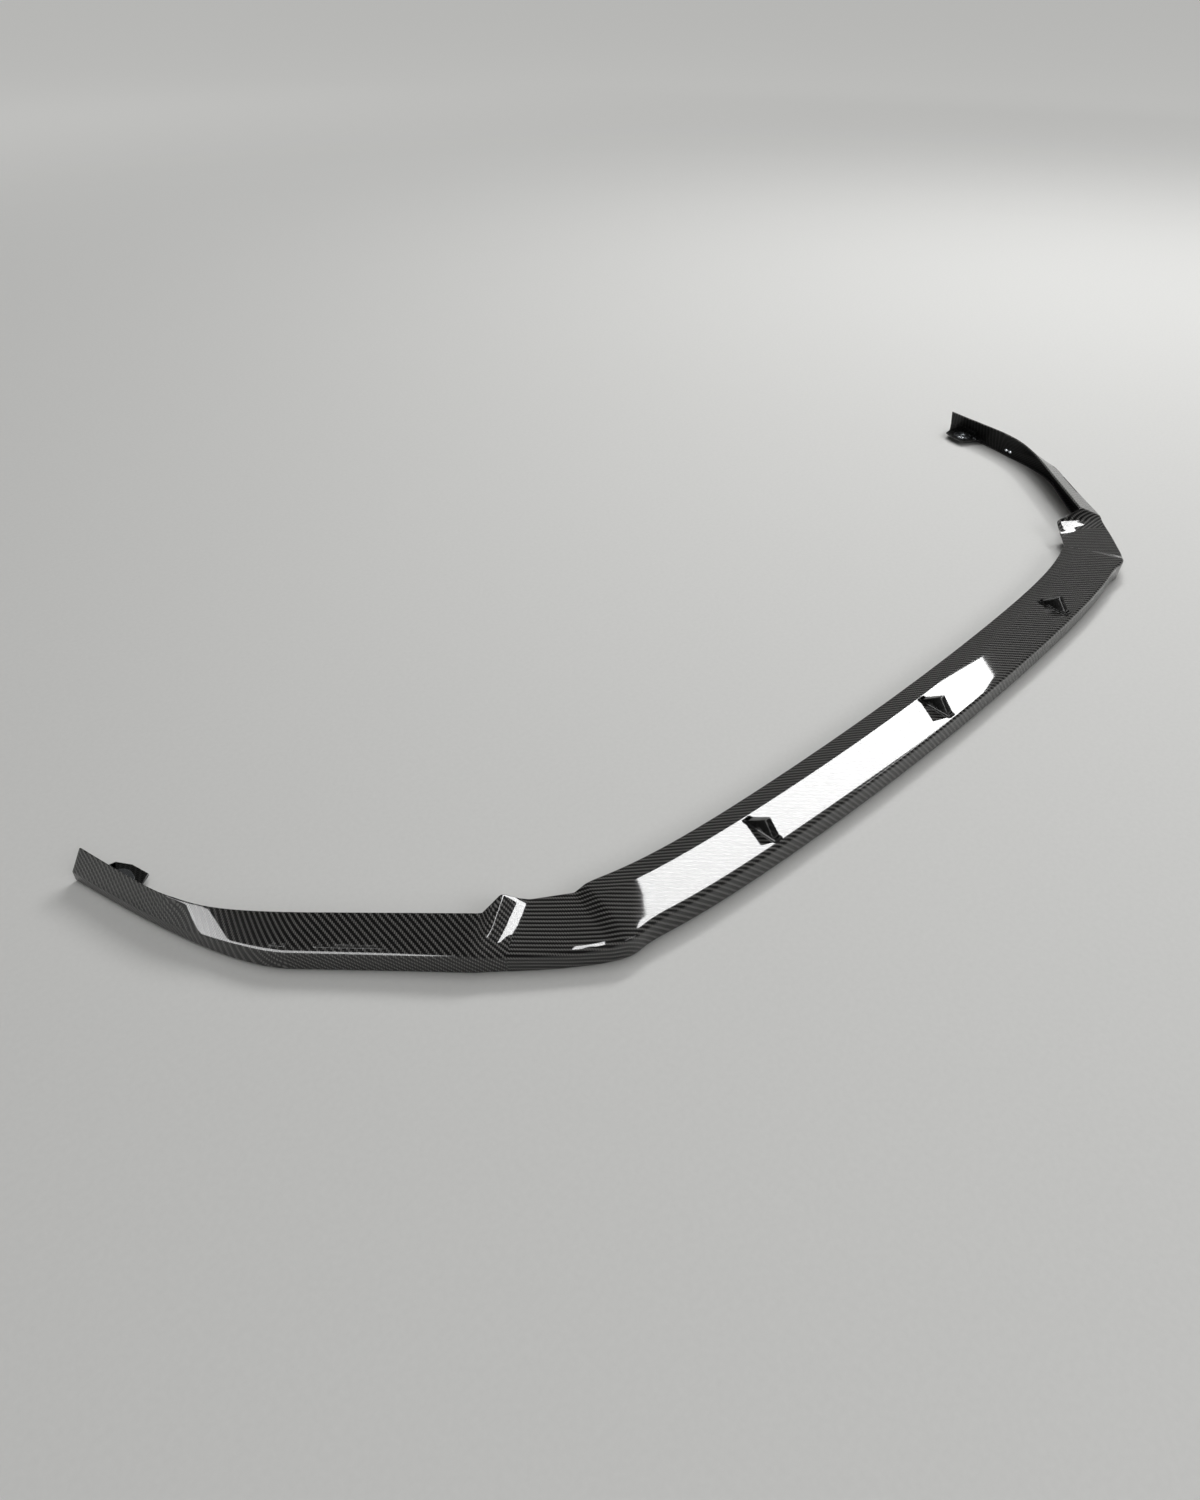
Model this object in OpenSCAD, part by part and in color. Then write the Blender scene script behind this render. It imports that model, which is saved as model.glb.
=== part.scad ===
// Front splitter lip for a passenger car: one glossy twill-weave moulding with three small fins
// on its blade and a drilled bracket bonded inside each arm end.
// Millimetres. X runs across the car, Y runs rearward, Z is up from the floor the lip rests on.
// The origin is on the floor, on the car's centre line, halfway between front edge and arm tips.
// Rearward positions below are measured from the crease that closes the blade at the middle.

/* [Blade] */
// Half width of the blade measured along its rear crease
crease_half = 532.5; // [515:0.5:545]
// How far the crease bows rearward by the blade end
crease_bow = 29.5; // [15:0.5:40]
// Extra hook of the crease close to the blade end
crease_hook = 9; // [0:0.5:15]
// Height of the crease at the middle
crease_height_mid = 38; // [34:0.5:42]
// Height of the crease at the blade end
crease_height_end = 34.5; // [31:0.5:38]
// Half width of the blade measured along its front edge
front_half = 520.5; // [510:0.5:530]
// Depth of the blade at the middle, crease to front edge
blade_depth = 56; // [48:0.5:66]
// How far the front edge bows rearward by the blade end
front_bow = 24.5; // [12:0.5:32]
// Extra hook of the front edge close to the blade end
front_hook = 7.5; // [0:0.5:12]
// Height of the front edge at the middle
front_height_mid = 33; // [28:0.5:36]
// Height of the front edge at the blade end, where it dips
front_height_end = 32.4; // [28:0.1:36]

/* [Rear flange] */
// Half width of the flange that runs behind the crease
flange_half = 528; // [515:0.5:535]
// Width of the flange at the middle, which slopes down behind the crease
flange_width = 27; // [20:0.5:32]
// How far the flange edge bows rearward by the blade end
flange_bow = 24.5; // [18:0.5:30]
// Extra hook of the flange edge close to the blade end
flange_hook = 15; // [8:0.5:20]
// Height of the flange edge at the middle
flange_height_mid = 33; // [30:0.5:36]
// Height of the flange edge at the blade end
flange_height_end = 31; // [28:0.5:34]

/* [Corner pad, rear edge] */
// Fold where the blade ends, across
fold_x = 538; // [534:0.5:542]
// Fold where the blade ends, rearward
fold_y = 68; // [66:0.5:70]
// Where the pad starts, across
pad_start_x = 551; // [546:0.5:556]
// Where the pad starts, rearward
pad_start_y = 71.5; // [68:0.5:76]
// Height of the rear edge of the pad
pad_rear_height = 24.5; // [20:0.5:30]
// Where the pad ends, across
pad_end_x = 594.5; // [588:0.5:602]
// Where the pad ends, rearward
pad_end_y = 101; // [96:0.5:106]
// Peak of the folded facet, across
peak_x = 611.5; // [606:0.5:618]
// Peak of the folded facet, rearward
peak_y = 118; // [112:0.5:124]
// Height of the peak
peak_height = 33.5; // [28:0.5:38]
// Where the arm's top edge meets the facet, across
arm_root_x = 653; // [646:0.5:660]
// Where the arm's top edge meets the facet, rearward
arm_root_y = 100; // [96:0.5:106]
// Height of the arm's top edge at the facet
arm_root_height = 47.5; // [42:0.5:52]

/* [Corner pad, front edge] */
// Front edge at the fold, across
fold_front_x = 560; // [554:0.5:566]
// Front edge at the fold, rearward
fold_front_y = -21.5; // [-24:0.5:-18]
// Front edge at the start of the pad, across
pad_front_start_x = 582; // [576:0.5:590]
// Front edge at the start of the pad, rearward
pad_front_start_y = -11; // [-15:0.5:-7]
// Front edge halfway round the corner, across
pad_front_mid_x = 615.5; // [608:0.5:622]
// Front edge halfway round the corner, rearward
pad_front_mid_y = 12.5; // [7:0.5:18]
// Front edge at the end of the pad, across
pad_front_end_x = 664.5; // [660:0.5:668]
// Front edge at the end of the pad, rearward
pad_front_end_y = 54.5; // [52:0.5:58]
// Front edge opposite the peak, across
facet_front_x = 677; // [672:0.5:684]
// Front edge opposite the peak, rearward
facet_front_y = 66; // [62:0.5:70]
// Front edge at the root of the arm, across
arm_front_x = 690; // [684:0.5:698]
// Front edge at the root of the arm, rearward
arm_front_y = 77.5; // [72:0.5:82]
// Height of the front edge round the corner
pad_front_height = 27; // [24:0.5:31]

/* [Side arm] */
// Top edge where the straight run ends, across
arm_bend_x = 776; // [768:0.5:784]
// Top edge where the straight run ends, rearward
arm_bend_y = 226.5; // [220:0.5:234]
// Height of the top edge at the bend
arm_bend_height = 46.5; // [42:0.5:50]
// Top edge at the tip, across
tip_x = 896.5; // [890:0.5:904]
// Top edge at the tip, rearward
tip_y = 486.5; // [478:0.5:496]
// Height of the top edge at the tip
tip_height = 43.5; // [38:0.5:48]
// Front edge where the straight run ends, across
arm_front_bend_x = 814; // [806:0.5:820]
// Front edge where the straight run ends, rearward
arm_front_bend_y = 212; // [206:0.5:218]
// Height of the front edge at the bend
arm_front_bend_height = 28; // [25:0.5:31]
// Outer face at the tip, across
tip_front_x = 911; // [907:0.5:914]
// Outer face at the tip, rearward
tip_front_y = 491.5; // [486:0.5:496]
// Height at which the outer face folds down at the tip
tip_front_height = 14; // [10:0.5:18]
// Direction of the arm at its tip, from straight across
tip_angle = 77; // [72:0.5:82]

/* [Section] */
// Wall thickness of the moulding
wall = 2.5; // [2:0.1:3]
// Outer radius of the front edge
edge_radius = 4; // [3.5:0.1:5]
// Outer radius of the front edge along the straight run of the arm
arm_edge_radius = 10; // [6:0.5:12]
// Outer radius where the front face turns under
foot_radius = 3.5; // [3.2:0.1:4.5]
// How far the front face leans back at the floor
face_tuck = 3; // [1:0.5:5]
// How far the lower face leans back at the floor at the arm tips
tip_tuck = 0; // [-1:0.5:2]
// Width of the turned-under foot below the blade and corners
foot_width = 18; // [12:1:26]
// Width of the turned-under foot at the arm tips
tip_foot_width = 5; // [4:0.5:7]

/* [Fins] */
// Distance from the middle fin to each outer fin
fin_spacing = 341.5; // [320:0.5:360]
// Width of a fin at its base
fin_width = 10.6; // [8:0.2:14]
// Width of a fin at its peak
fin_peak_width = 8.6; // [6:0.2:10]
// Gap from the crease to the rear end of a fin
fin_setback = 4; // [2:0.5:8]
// Distance from the crease to the front foot of a fin
fin_reach = 49; // [42:0.5:52]
// Distance from the crease to the peak of a fin
fin_peak_reach = 32; // [26:0.5:38]
// Height of the peak above the blade
fin_height = 20; // [12:0.5:26]
// Radius that rounds the peak
fin_nose = 2; // [1:0.5:3]
// Thickness of the bond line under each fin
bond_line = 0.2; // [0.1:0.05:0.4]

/* [End bracket] */
// Length of the bracket along the arm
bracket_length = 75; // [72:1:78]
// Width of the bracket's flat plate
bracket_width = 43.5; // [42:0.5:46]
// Sheet thickness of the bracket
bracket_sheet = 2.5; // [2:0.5:3]
// Height of the underside of the plate above the floor
bracket_height = 8; // [7:0.5:12]
// Height of the leg that is bonded to the arm
bracket_leg = 13; // [10:1:18]
// Length of that leg along the arm
leg_length = 44; // [30:1:56]
// Distance of the bracket's middle from the arm tip, as a share of the arm length
bracket_place = 0.11; // [0.1:0.001:0.12]
// Size of the bevel on the plate's free rear corner
bracket_bevel = 30; // [24:1:34]
// How far the plate's front edge slants rearward away from the arm
bracket_slant = 18; // [12:1:20]
// Clear gap between the plate's edge and the arm
bracket_gap = 0.3; // [0.2:0.1:0.6]
// Gap between the straight leg and the bowed arm at the middle of the leg
leg_gap = 0.9; // [0.7:0.1:1.2]
// Diameter of the hole for an M10 screw or panel clip
hole_diameter = 11; // [9:0.5:12]
// Length of the oval eyelet pressed into the hole
eyelet_length = 34; // [30:0.5:36]
// Width of the oval eyelet
eyelet_width = 28; // [24:0.5:30]
// Turn of the eyelet away from the line of the arm
eyelet_turn = 20; // [0:1:30]
// Sheet thickness of the eyelet
eyelet_sheet = 1.2; // [0.8:0.1:1.6]
// Radial clearance of the eyelet's collar in the plate
collar_clearance = 0.2; // [0.1:0.05:0.4]
// Shank diameter of the rivets
rivet_diameter = 4; // [3.2:0.2:4.8]
// Head diameter of the rivets
rivet_head = 8; // [6.5:0.5:9]
// Height of a rivet head
rivet_head_height = 2; // [1.5:0.1:2.6]

/* [Hidden] */
blade_steps = 16;
corner_steps = 4;
arm_steps = 26;
edge_steps = 5;
foot_steps = 3;
plate_steps = 8;
crease_share = 0.32;
straight_share = 0.378;
top_leave = 0.51;
top_arrive = 0.506;
front_leave = 0.237;
front_arrive = 0.27;
drop_share = 0.7;
round_in = 0.2;
front_fall = 8;
round_out = [0.42, 0.62];
fine = 48;
carbon = [0.09, 0.09, 0.10];
metal = [0.72, 0.73, 0.75];

function mix(a, b, t) = a + (b - a) * t;
function ease(t) = t * t * (3 - 2 * t);
function flat(p) = [p[0], p[1]];
function unit(v) = v / norm(v);

// Edge curve of the blade from the middle (t = 0) to its end (t = 1).
function bowed(half, start, bow, hook, mid_height, end_height, t, fall = 2) =
    [half * t, start + bow * t * t + hook * pow(t, 8),
     mix(mid_height, end_height, pow(t, fall))];
function crease_at(t) =
    bowed(crease_half, 0, crease_bow, crease_hook, crease_height_mid, crease_height_end, t);
function front_at(t) =
    bowed(front_half, -blade_depth, front_bow, front_hook, front_height_mid, front_height_end,
          t, front_fall);
function flange_at(t) =
    bowed(flange_half, flange_width, flange_bow, flange_hook, flange_height_mid,
          flange_height_end, t);

// Smooth curve through guide points: a cubic piece between points i and i + 1. Its height leaves
// each point at the gentler of the two slopes beside it.
function span(k, i) = norm(flat(k[i + 1]) - flat(k[i]));
function heading(k, i, first, last) =
    i == 0 ? first :
    i == len(k) - 1 ? last :
    let (d0 = span(k, i - 1), d1 = span(k, i),
         a = (k[i] - k[i - 1]) / d0, b = (k[i + 1] - k[i]) / d1, h = (a * d1 + b * d0) / (d0 + d1))
    [h[0], h[1], a[2] * b[2] <= 0 ? 0 : abs(a[2]) < abs(b[2]) ? a[2] : b[2]];
function through(k, i, t, first, last) =
    let (d = span(k, i), ta = heading(k, i, first, last) * d, tb = heading(k, i + 1, first, last) * d)
    (2 * t * t * t - 3 * t * t + 1) * k[i] + (t * t * t - 2 * t * t + t) * ta
    + (3 * t * t - 2 * t * t * t) * k[i + 1] + (t * t * t - t * t) * tb;
function cubic(a, b, c, d, t) =
    pow(1 - t, 3) * a + 3 * pow(1 - t, 2) * t * b + 3 * (1 - t) * t * t * c + t * t * t * d;

// Guide points of the corner: rear edge and front edge, blade end to arm root.
arm_root = [arm_root_x, arm_root_y, arm_root_height];
arm_front = [arm_front_x, arm_front_y, mix(pad_front_height, arm_front_bend_height, 0.8) + 1];
arm_bend = [arm_bend_x, arm_bend_y, arm_bend_height];
arm_front_bend = [arm_front_bend_x, arm_front_bend_y, arm_front_bend_height];
tip = [tip_x, tip_y, tip_height];
tip_front = [tip_front_x, tip_front_y, tip_front_height];
pad_start = [pad_start_x, pad_start_y, pad_rear_height];
pad_end = [pad_end_x, pad_end_y, pad_rear_height - 1];
corner_rear = [flange_at(1), [fold_x, fold_y, flange_height_end], pad_start,
               mix(pad_start, pad_end, 0.5), pad_end, [peak_x, peak_y, peak_height], arm_root];
corner_front = [front_at(1),
                [fold_front_x, fold_front_y, front_height_end - 0.4],
                [pad_front_start_x, pad_front_start_y, pad_front_height + 1],
                [pad_front_mid_x, pad_front_mid_y, pad_front_height - 1],
                [pad_front_end_x, pad_front_end_y, pad_front_height],
                [facet_front_x, facet_front_y, pad_front_height + 0.5], arm_front];
fold_rise = 3;
fold_crease = mix(corner_rear[1], corner_front[1], crease_share) + [0, 0, fold_rise];
front_run = [front_half, 2 * front_bow + 8 * front_hook,
             front_fall * (front_height_end - front_height_mid)];
front_start = front_run / norm(flat(front_run));
front_finish = (arm_front_bend - arm_front) / norm(flat(arm_front_bend) - flat(arm_front));

// Side arm: a straight run followed by a bend that ends at the tip (u = 1).
function arm_curve(a, b, c, leave, arrive, u) =
    let (d = unit([b[0] - a[0], b[1] - a[1], 0]), e = [cos(tip_angle), sin(tip_angle), 0],
         v = (u - straight_share) / (1 - straight_share), chord = norm(flat(c) - flat(b)))
    v < 0 ? mix(a, b, u / straight_share)
          : cubic(b, b + d * chord * leave, c - e * chord * arrive, c, v);
function arm_top_at(u) = arm_curve(arm_root, arm_bend, tip, top_leave, top_arrive, u);
function arm_front_at(u) =
    let (p = arm_curve(arm_front, arm_front_bend, tip_front, front_leave, front_arrive, u),
         v = (u - straight_share) / (1 - straight_share))
    v < 0 ? p : [p[0], p[1], mix(arm_front_bend_height, tip_front_height,
                                 ease(min(1, v / drop_share)))];

// Rounded corner b between a and c in the plane of a section.
function round_corner(a, b, c, r, n) =
    let (u = unit(a - b), v = unit(c - b), half = acos(max(-1, min(1, u * v))) / 2,
         reach = r / tan(half), m = b + unit(u + v) * r / sin(half),
         p = b + u * reach - m, q = b + v * reach - m,
         a0 = atan2(p[1], p[0]), raw = atan2(q[1], q[0]) - a0,
         turn = raw > 180 ? raw - 360 : raw < -180 ? raw + 360 : raw)
    [for (i = [0:n]) m + r * [cos(a0 + turn * i / n), sin(a0 + turn * i / n)]];
function left_of(v) = [-v[1], v[0]];
function inner_line(p, t) =
    [for (i = [0:len(p) - 1])
        let (a = left_of(unit(p[min(i + 1, len(p) - 1)] - p[min(i, len(p) - 2)])),
             b = left_of(unit(p[max(i, 1)] - p[max(i - 1, 0)])))
        p[i] + t * (a + b) / (1 + a * b)];

// Closed section ring through a rear, crease and front point, standing on the floor.
function section(rear, crease, front, tuck, width, radius = edge_radius) =
    let (d = unit(flat(rear) - flat(front)), depth = norm(flat(rear) - flat(front)),
         r = [depth, rear[2]], c = [(flat(crease) - flat(front)) * d, crease[2]],
         f = [0, front[2]], g = [tuck, 0], h = [tuck + width, 0],
         outer = concat([r, c], round_corner(c, f, g, radius, edge_steps),
                        round_corner(f, g, h, foot_radius, foot_steps), [h]),
         inner = inner_line(outer, wall), n = len(outer),
         ring = concat(outer, [for (i = [n - 1:-1:0]) inner[i]]))
    [for (p = ring) [front[0] + d[0] * p[0], front[1] + d[1] * p[0], p[1]]];
function on_line(rear, front) = mix(rear, front, crease_share);

// Rings of one half, middle to tip.
function blade_ring(t) = section(flange_at(t), crease_at(t), front_at(t), face_tuck, foot_width);
function corner_ring(i, t) =
    let (w = i == 1 ? ease(t) : t, rear = mix(corner_rear[i], corner_rear[i + 1], w),
         front = through(corner_front, i, t, front_start, front_finish),
         crease = i == 0 ? mix(crease_at(1), fold_crease, t)
                         : on_line(rear, front) + [0, 0, i == 1 ? fold_rise * (1 - w) : 0])
    section(rear, crease, front, face_tuck, foot_width);
function arm_ring(u) =
    let (rear = arm_top_at(u), front = arm_front_at(u), k = ease(min(1, u / 0.55)),
         w = (u - round_out[0]) / (round_out[1] - round_out[0]),
         swell = ease(min(1, u / round_in)) * (1 - ease(max(0, min(1, w)))))
    section(rear, on_line(rear, front), front, mix(face_tuck, tip_tuck, k),
            mix(foot_width, tip_foot_width, k), mix(edge_radius, arm_edge_radius, swell));
half_rings = concat(
    [for (i = [0:blade_steps - 1]) blade_ring(i / blade_steps)],
    [for (i = [0:len(corner_rear) - 2]) for (j = [0:corner_steps - 1]) corner_ring(i, j / corner_steps)],
    [for (i = [0:arm_steps]) arm_ring(i / arm_steps)]);
function mirrored(ring) = [for (p = ring) [-p[0], p[1], p[2]]];
all_rings = concat([for (i = [len(half_rings) - 1:-1:1]) mirrored(half_rings[i])], half_rings);
ring_ys = [for (r = half_rings) each [for (p = r) p[1]]];
middle = (min(ring_ys) + max(ring_ys)) / 2;
module centred() translate([0, -middle, 0]) children();

module lip_shell() {
    n = len(all_rings[0]);
    m = len(all_rings);
    half = n / 2;
    sides = [for (i = [0:m - 2]) for (j = [0:n - 1])
        let (a = i * n + j, b = i * n + (j + 1) % n, c = a + n, d = b + n)
        each [[a, d, b], [a, c, d]]];
    caps = [for (e = [0, m - 1]) for (j = [0:half - 2])
        let (a = e * n + j, b = a + 1, c = e * n + n - 2 - j, d = c + 1)
        each (e == 0 ? [[a, c, d], [a, b, c]] : [[a, d, c], [a, c, b]])];
    color(carbon) centred()
        polyhedron(points = [for (r = all_rings) each r], faces = concat(sides, caps));
}

// Height of the blade's top face at a place on it, from the section line that passes there.
function section_height(p, t, tries) =
    let (f = front_at(t), d = unit(flat(flange_at(t)) - flat(f)), q = p - flat(f))
    tries > 0
        ? section_height(p, t + (q[0] * d[1] - q[1] * d[0]) / front_half, tries - 1)
        : mix(f[2], crease_at(t)[2], q * d / ((flat(crease_at(t)) - flat(f)) * d));
function blade_height(x, y) = section_height([abs(x), y], abs(x) / front_half, 8);

module fin(x) {
    y0 = crease_at(abs(x) / crease_half)[1];
    rear = y0 - fin_setback;
    foot = y0 - fin_reach;
    peak = y0 - fin_peak_reach;
    base = blade_height(x, peak);
    top = round_corner([rear, base], [peak, base + fin_height], [foot, base], fin_nose, 4);
    function side(s) = concat(
        [[x + s * fin_width / 2, rear, blade_height(x + s * fin_width / 2, rear) + bond_line]],
        [for (p = top) [x + s * fin_peak_width / 2, p[0], p[1]]],
        [[x + s * fin_width / 2, foot, blade_height(x + s * fin_width / 2, foot) + bond_line]]);
    a = side(-1);
    b = side(1);
    n = len(a);
    color(carbon) centred() polyhedron(
        points = concat(a, b),
        faces = concat(
            [for (i = [1:n - 2]) [0, i, i + 1]],
            [for (i = [1:n - 2]) [n, n + i + 1, n + i]],
            [for (i = [0:n - 1]) let (j = (i + 1) % n) each [[i, n + i, n + j], [i, n + j, j]]]));
}
module fin_left() fin(-fin_spacing);
module fin_centre() fin(0);
module fin_right() fin(fin_spacing);

// Inside face of the arm wall at share u of the arm and height z.
function wall_inside(u, z) =
    let (ring = arm_ring(u), n = len(ring), inner = [for (i = [n / 2 + 1:n - 1]) ring[i]])
    [lookup(z, [for (p = inner) [p[2], p[0]]]), lookup(z, [for (p = inner) [p[2], p[1]]]), z];
bracket_u = 1 - bracket_place;
bracket_low = wall_inside(bracket_u, bracket_height);
bracket_run = wall_inside(bracket_u + 0.03, bracket_height)
            - wall_inside(bracket_u - 0.03, bracket_height);
bracket_yaw = atan2(bracket_run[1], bracket_run[0]);
// Local frame of a bracket: x along the arm, y inboard from the wall, z up.
function in_bracket(p) =
    let (d = flat(p) - flat(bracket_low), c = cos(bracket_yaw), s = sin(bracket_yaw))
    [d[0] * c + d[1] * s, d[1] * c - d[0] * s];
bracket_share = 0.06 * bracket_length / norm(bracket_run);
plate_edge = [for (i = [0:plate_steps])
    in_bracket(wall_inside(bracket_u + (i / plate_steps - 0.5) * bracket_share, bracket_height))
    + [0, bracket_gap]];
knee_height = tip_front_height - edge_radius / 2;
leg_top = bracket_height + bracket_leg;
leg_lean = in_bracket(wall_inside(bracket_u, leg_top))[1];
hole_inboard = 20.5;
hole_along = -1;
rivet_along = 12.5 - bracket_length / 2;
rivet_inboard = 12.5;
plate_top = bracket_height + bracket_sheet;
stud_height = 10.5;

module bracket_place_at(mirror_side) {
    centred() mirror([mirror_side < 0 ? 1 : 0, 0, 0])
        translate([bracket_low[0], bracket_low[1], 0]) rotate([0, 0, bracket_yaw]) children();
}
collar_diameter = hole_diameter + 2 * eyelet_sheet;

module bracket(mirror_side) {
    color(carbon) bracket_place_at(mirror_side) difference() {
        union() {
            translate([0, 0, bracket_height]) linear_extrude(bracket_sheet) polygon([
                each plate_edge,
                [bracket_length / 2 - 0.08 * bracket_bevel, 0.3 * bracket_width],
                [bracket_length / 2 - 0.36 * bracket_bevel, bracket_width - 0.23 * bracket_bevel],
                [bracket_length / 2 - bracket_bevel, bracket_width],
                [bracket_slant - bracket_length / 2, bracket_width]]);
            translate([-leg_length / 2, leg_gap, 0]) rotate([90, 0, 90])
                linear_extrude(leg_length) polygon([
                    [0, bracket_height], [bracket_sheet, bracket_height],
                    [bracket_sheet, knee_height], [bracket_sheet + leg_lean, leg_top],
                    [leg_lean, leg_top], [0, knee_height]]);
        }
        translate([hole_along, hole_inboard, bracket_height - 1])
            cylinder(d = collar_diameter + 2 * collar_clearance, h = bracket_sheet + 2, $fn = fine);
        translate([rivet_along, rivet_inboard, bracket_height - 1])
            cylinder(d = rivet_diameter + 0.2, h = bracket_sheet + 2, $fn = fine);
    }
}
module bracket_left() bracket(-1);
module bracket_right() bracket(1);

module eyelet(mirror_side) {
    color(metal) bracket_place_at(mirror_side) translate([hole_along, hole_inboard, 0]) difference() {
        union() {
            translate([0, 0, plate_top]) rotate([0, 0, eyelet_turn]) {
                for (s = [-1, 1]) translate([s * (eyelet_length - eyelet_width) / 2, 0, 0])
                    cylinder(d = eyelet_width, h = eyelet_sheet, $fn = fine);
                translate([(eyelet_width - eyelet_length) / 2, -eyelet_width / 2, 0])
                    cube([eyelet_length - eyelet_width, eyelet_width, eyelet_sheet]);
            }
            translate([0, 0, bracket_height])
                cylinder(d = collar_diameter, h = bracket_sheet + eyelet_sheet / 2, $fn = fine);
        }
        translate([0, 0, bracket_height - 1])
            cylinder(d = hole_diameter, h = bracket_sheet + eyelet_sheet + 2, $fn = fine);
    }
}
module eyelet_left() eyelet(-1);
module eyelet_right() eyelet(1);

module rivet(grip) {
    cap = (rivet_head * rivet_head / 4 + rivet_head_height * rivet_head_height)
        / (2 * rivet_head_height);
    translate([0, 0, -grip]) cylinder(d = rivet_diameter, h = grip, $fn = fine);
    rotate_extrude($fn = fine) polygon(concat([[0, 0]],
        [for (i = [0:6]) let (a = asin(rivet_head / 2 / cap) * (1 - i / 6))
            [cap * sin(a), rivet_head_height - cap + cap * cos(a)]]));
}
module bracket_rivets() {
    color(metal) for (s = [-1, 1]) bracket_place_at(s)
        translate([rivet_along, rivet_inboard, plate_top]) rivet(bracket_sheet);
}

// Two low studs bonded to the inside of each arm for the wheel-arch liner.
module liner_studs() {
    color(metal) centred() for (s = [0, 1]) mirror([s, 0, 0]) for (u = [0.682, 0.702]) {
        p = wall_inside(u, stud_height);
        q = wall_inside(u + 0.01, stud_height) - wall_inside(u - 0.01, stud_height);
        translate(p) rotate([0, 0, atan2(q[1], q[0])]) rotate([-90, 0, 0])
            translate([0, 0, 0.3]) rivet(0.01);
    }
}

lip_shell();
fin_left();
fin_centre();
fin_right();
bracket_left();
bracket_right();
eyelet_left();
eyelet_right();
bracket_rivets();
liner_studs();
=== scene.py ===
"""Front splitter lip: one long gloss twill moulding, three small fins and a drilled bracket in
each arm end, on a plain pale floor.

Lengths are in millimetres in the row frame, and become metres where a mesh is made.
"""

import logging
from dataclasses import dataclass, field
from enum import Enum

import bmesh
import bpy
import numpy as np
from mathutils import Matrix, Vector


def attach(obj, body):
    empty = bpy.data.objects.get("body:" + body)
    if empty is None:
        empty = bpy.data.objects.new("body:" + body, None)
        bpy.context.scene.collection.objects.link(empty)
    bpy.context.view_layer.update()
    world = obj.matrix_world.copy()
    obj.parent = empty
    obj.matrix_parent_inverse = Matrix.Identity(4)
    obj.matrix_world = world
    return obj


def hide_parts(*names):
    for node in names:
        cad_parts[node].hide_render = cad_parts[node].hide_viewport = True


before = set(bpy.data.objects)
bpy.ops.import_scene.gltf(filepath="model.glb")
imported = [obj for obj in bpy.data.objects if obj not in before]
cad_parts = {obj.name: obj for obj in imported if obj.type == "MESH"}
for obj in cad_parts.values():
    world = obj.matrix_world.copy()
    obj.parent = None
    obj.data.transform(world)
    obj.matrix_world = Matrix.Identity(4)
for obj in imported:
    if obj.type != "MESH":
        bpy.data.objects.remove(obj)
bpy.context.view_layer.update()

LOG = logging.getLogger("front_lip")
MM = 0.001
BODY = "root"
CLOTH = "cloth"  # the map that the weave reads
FIN_SPACING = 341.5
MIRROR = np.array([-1, 1, 1])
Array = np.ndarray


def unit(v: Array) -> Array:
    """Each row of v divided by its own length."""
    return v / np.maximum(np.linalg.norm(v, axis=-1, keepdims=True), 1e-12)


def mix(a: Array, b: Array, t: Array | float) -> Array:
    """a + (b - a) t, with t as a column beside the rows of points."""
    return a + (b - a) * np.asarray(t)[..., None]


def ease(t: Array) -> Array:
    """t squared times (3 - 2 t): a slow start and a slow stop between 0 and 1."""
    return t * t * (3 - 2 * t)


def circle(angle: Array) -> Array:
    """Points (cosine, sine) of the unit circle."""
    return np.stack([np.cos(angle), np.sin(angle)], -1)


def turning(degrees: float) -> Array:
    """Matrix that turns rows (x, y) anticlockwise when they are multiplied by it."""
    c, s = circle(np.radians(degrees))
    return np.array([[c, s], [-s, c]])


def bezier(a: Array, b: Array, c: Array, d: Array, t: Array) -> Array:
    """Cubic with ends a and d and handles b and c, at shares t."""
    t = t[:, None]
    return (1 - t)**3 * a + 3 * (1 - t)**2 * t * b + 3 * (1 - t) * t**2 * c + t**3 * d


def arc_corner(a: Array, b: Array, c: Array, radius: Array, steps: int) -> Array:
    """A true arc in the corner b between a and c, for many corners at once.

    The centre lies on the bisector at radius / sin(half angle), and the arc turns from the foot
    of the perpendicular on b-a to the one on b-c.

    Args:
        a, b, c: arrays of 2D points, one row per corner.
        radius: arc radius of each corner.
        steps: number of chords.

    Returns:
        Array of corners x (steps + 1) x 2.
    """
    u, v = unit(a - b), unit(c - b)
    half = np.arccos(np.clip((u * v).sum(-1), -1, 1)) / 2
    centre = b + unit(u + v) * (radius / np.sin(half))[:, None]
    reach = (radius / np.tan(half))[:, None]
    p, q = b + u * reach - centre, b + v * reach - centre
    start = np.arctan2(p[:, 1], p[:, 0])
    turn = (np.arctan2(q[:, 1], q[:, 0]) - start + np.pi) % (2 * np.pi) - np.pi
    angle = start[:, None] + turn[:, None] * np.linspace(0, 1, steps + 1)
    return centre[:, None] + radius[:, None, None] * circle(angle)


def parabola(a: Array, b: Array, c: Array, t: Array) -> Array:
    """(1 - t)^2 a + 2 t (1 - t) b + t^2 c, for many corners b at once.

    Args:
        a, b, c: arrays of 2D points, one row per corner.
        t: shares of the curve.

    Returns:
        Array of corners x shares x 2.
    """
    t = t[None, :, None]
    return (1 - t)**2 * a[:, None] + 2 * t * (1 - t) * b[:, None] + t**2 * c[:, None]


def side_normals(line: Array, closed: bool = False) -> Array:
    """Left-hand normals of planar polylines, from the chord between each point's neighbours.

    Args:
        line: array of lines x points x 2.
        closed: whether the last point is followed by the first.

    Returns:
        Unit normals in the same shape.
    """
    if closed:
        chord = np.roll(line, -1, 1) - np.roll(line, 1, 1)
    else:
        chord = np.gradient(line, axis=1)
    chord = unit(chord)
    return np.stack([-chord[..., 1], chord[..., 0]], -1)


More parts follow.
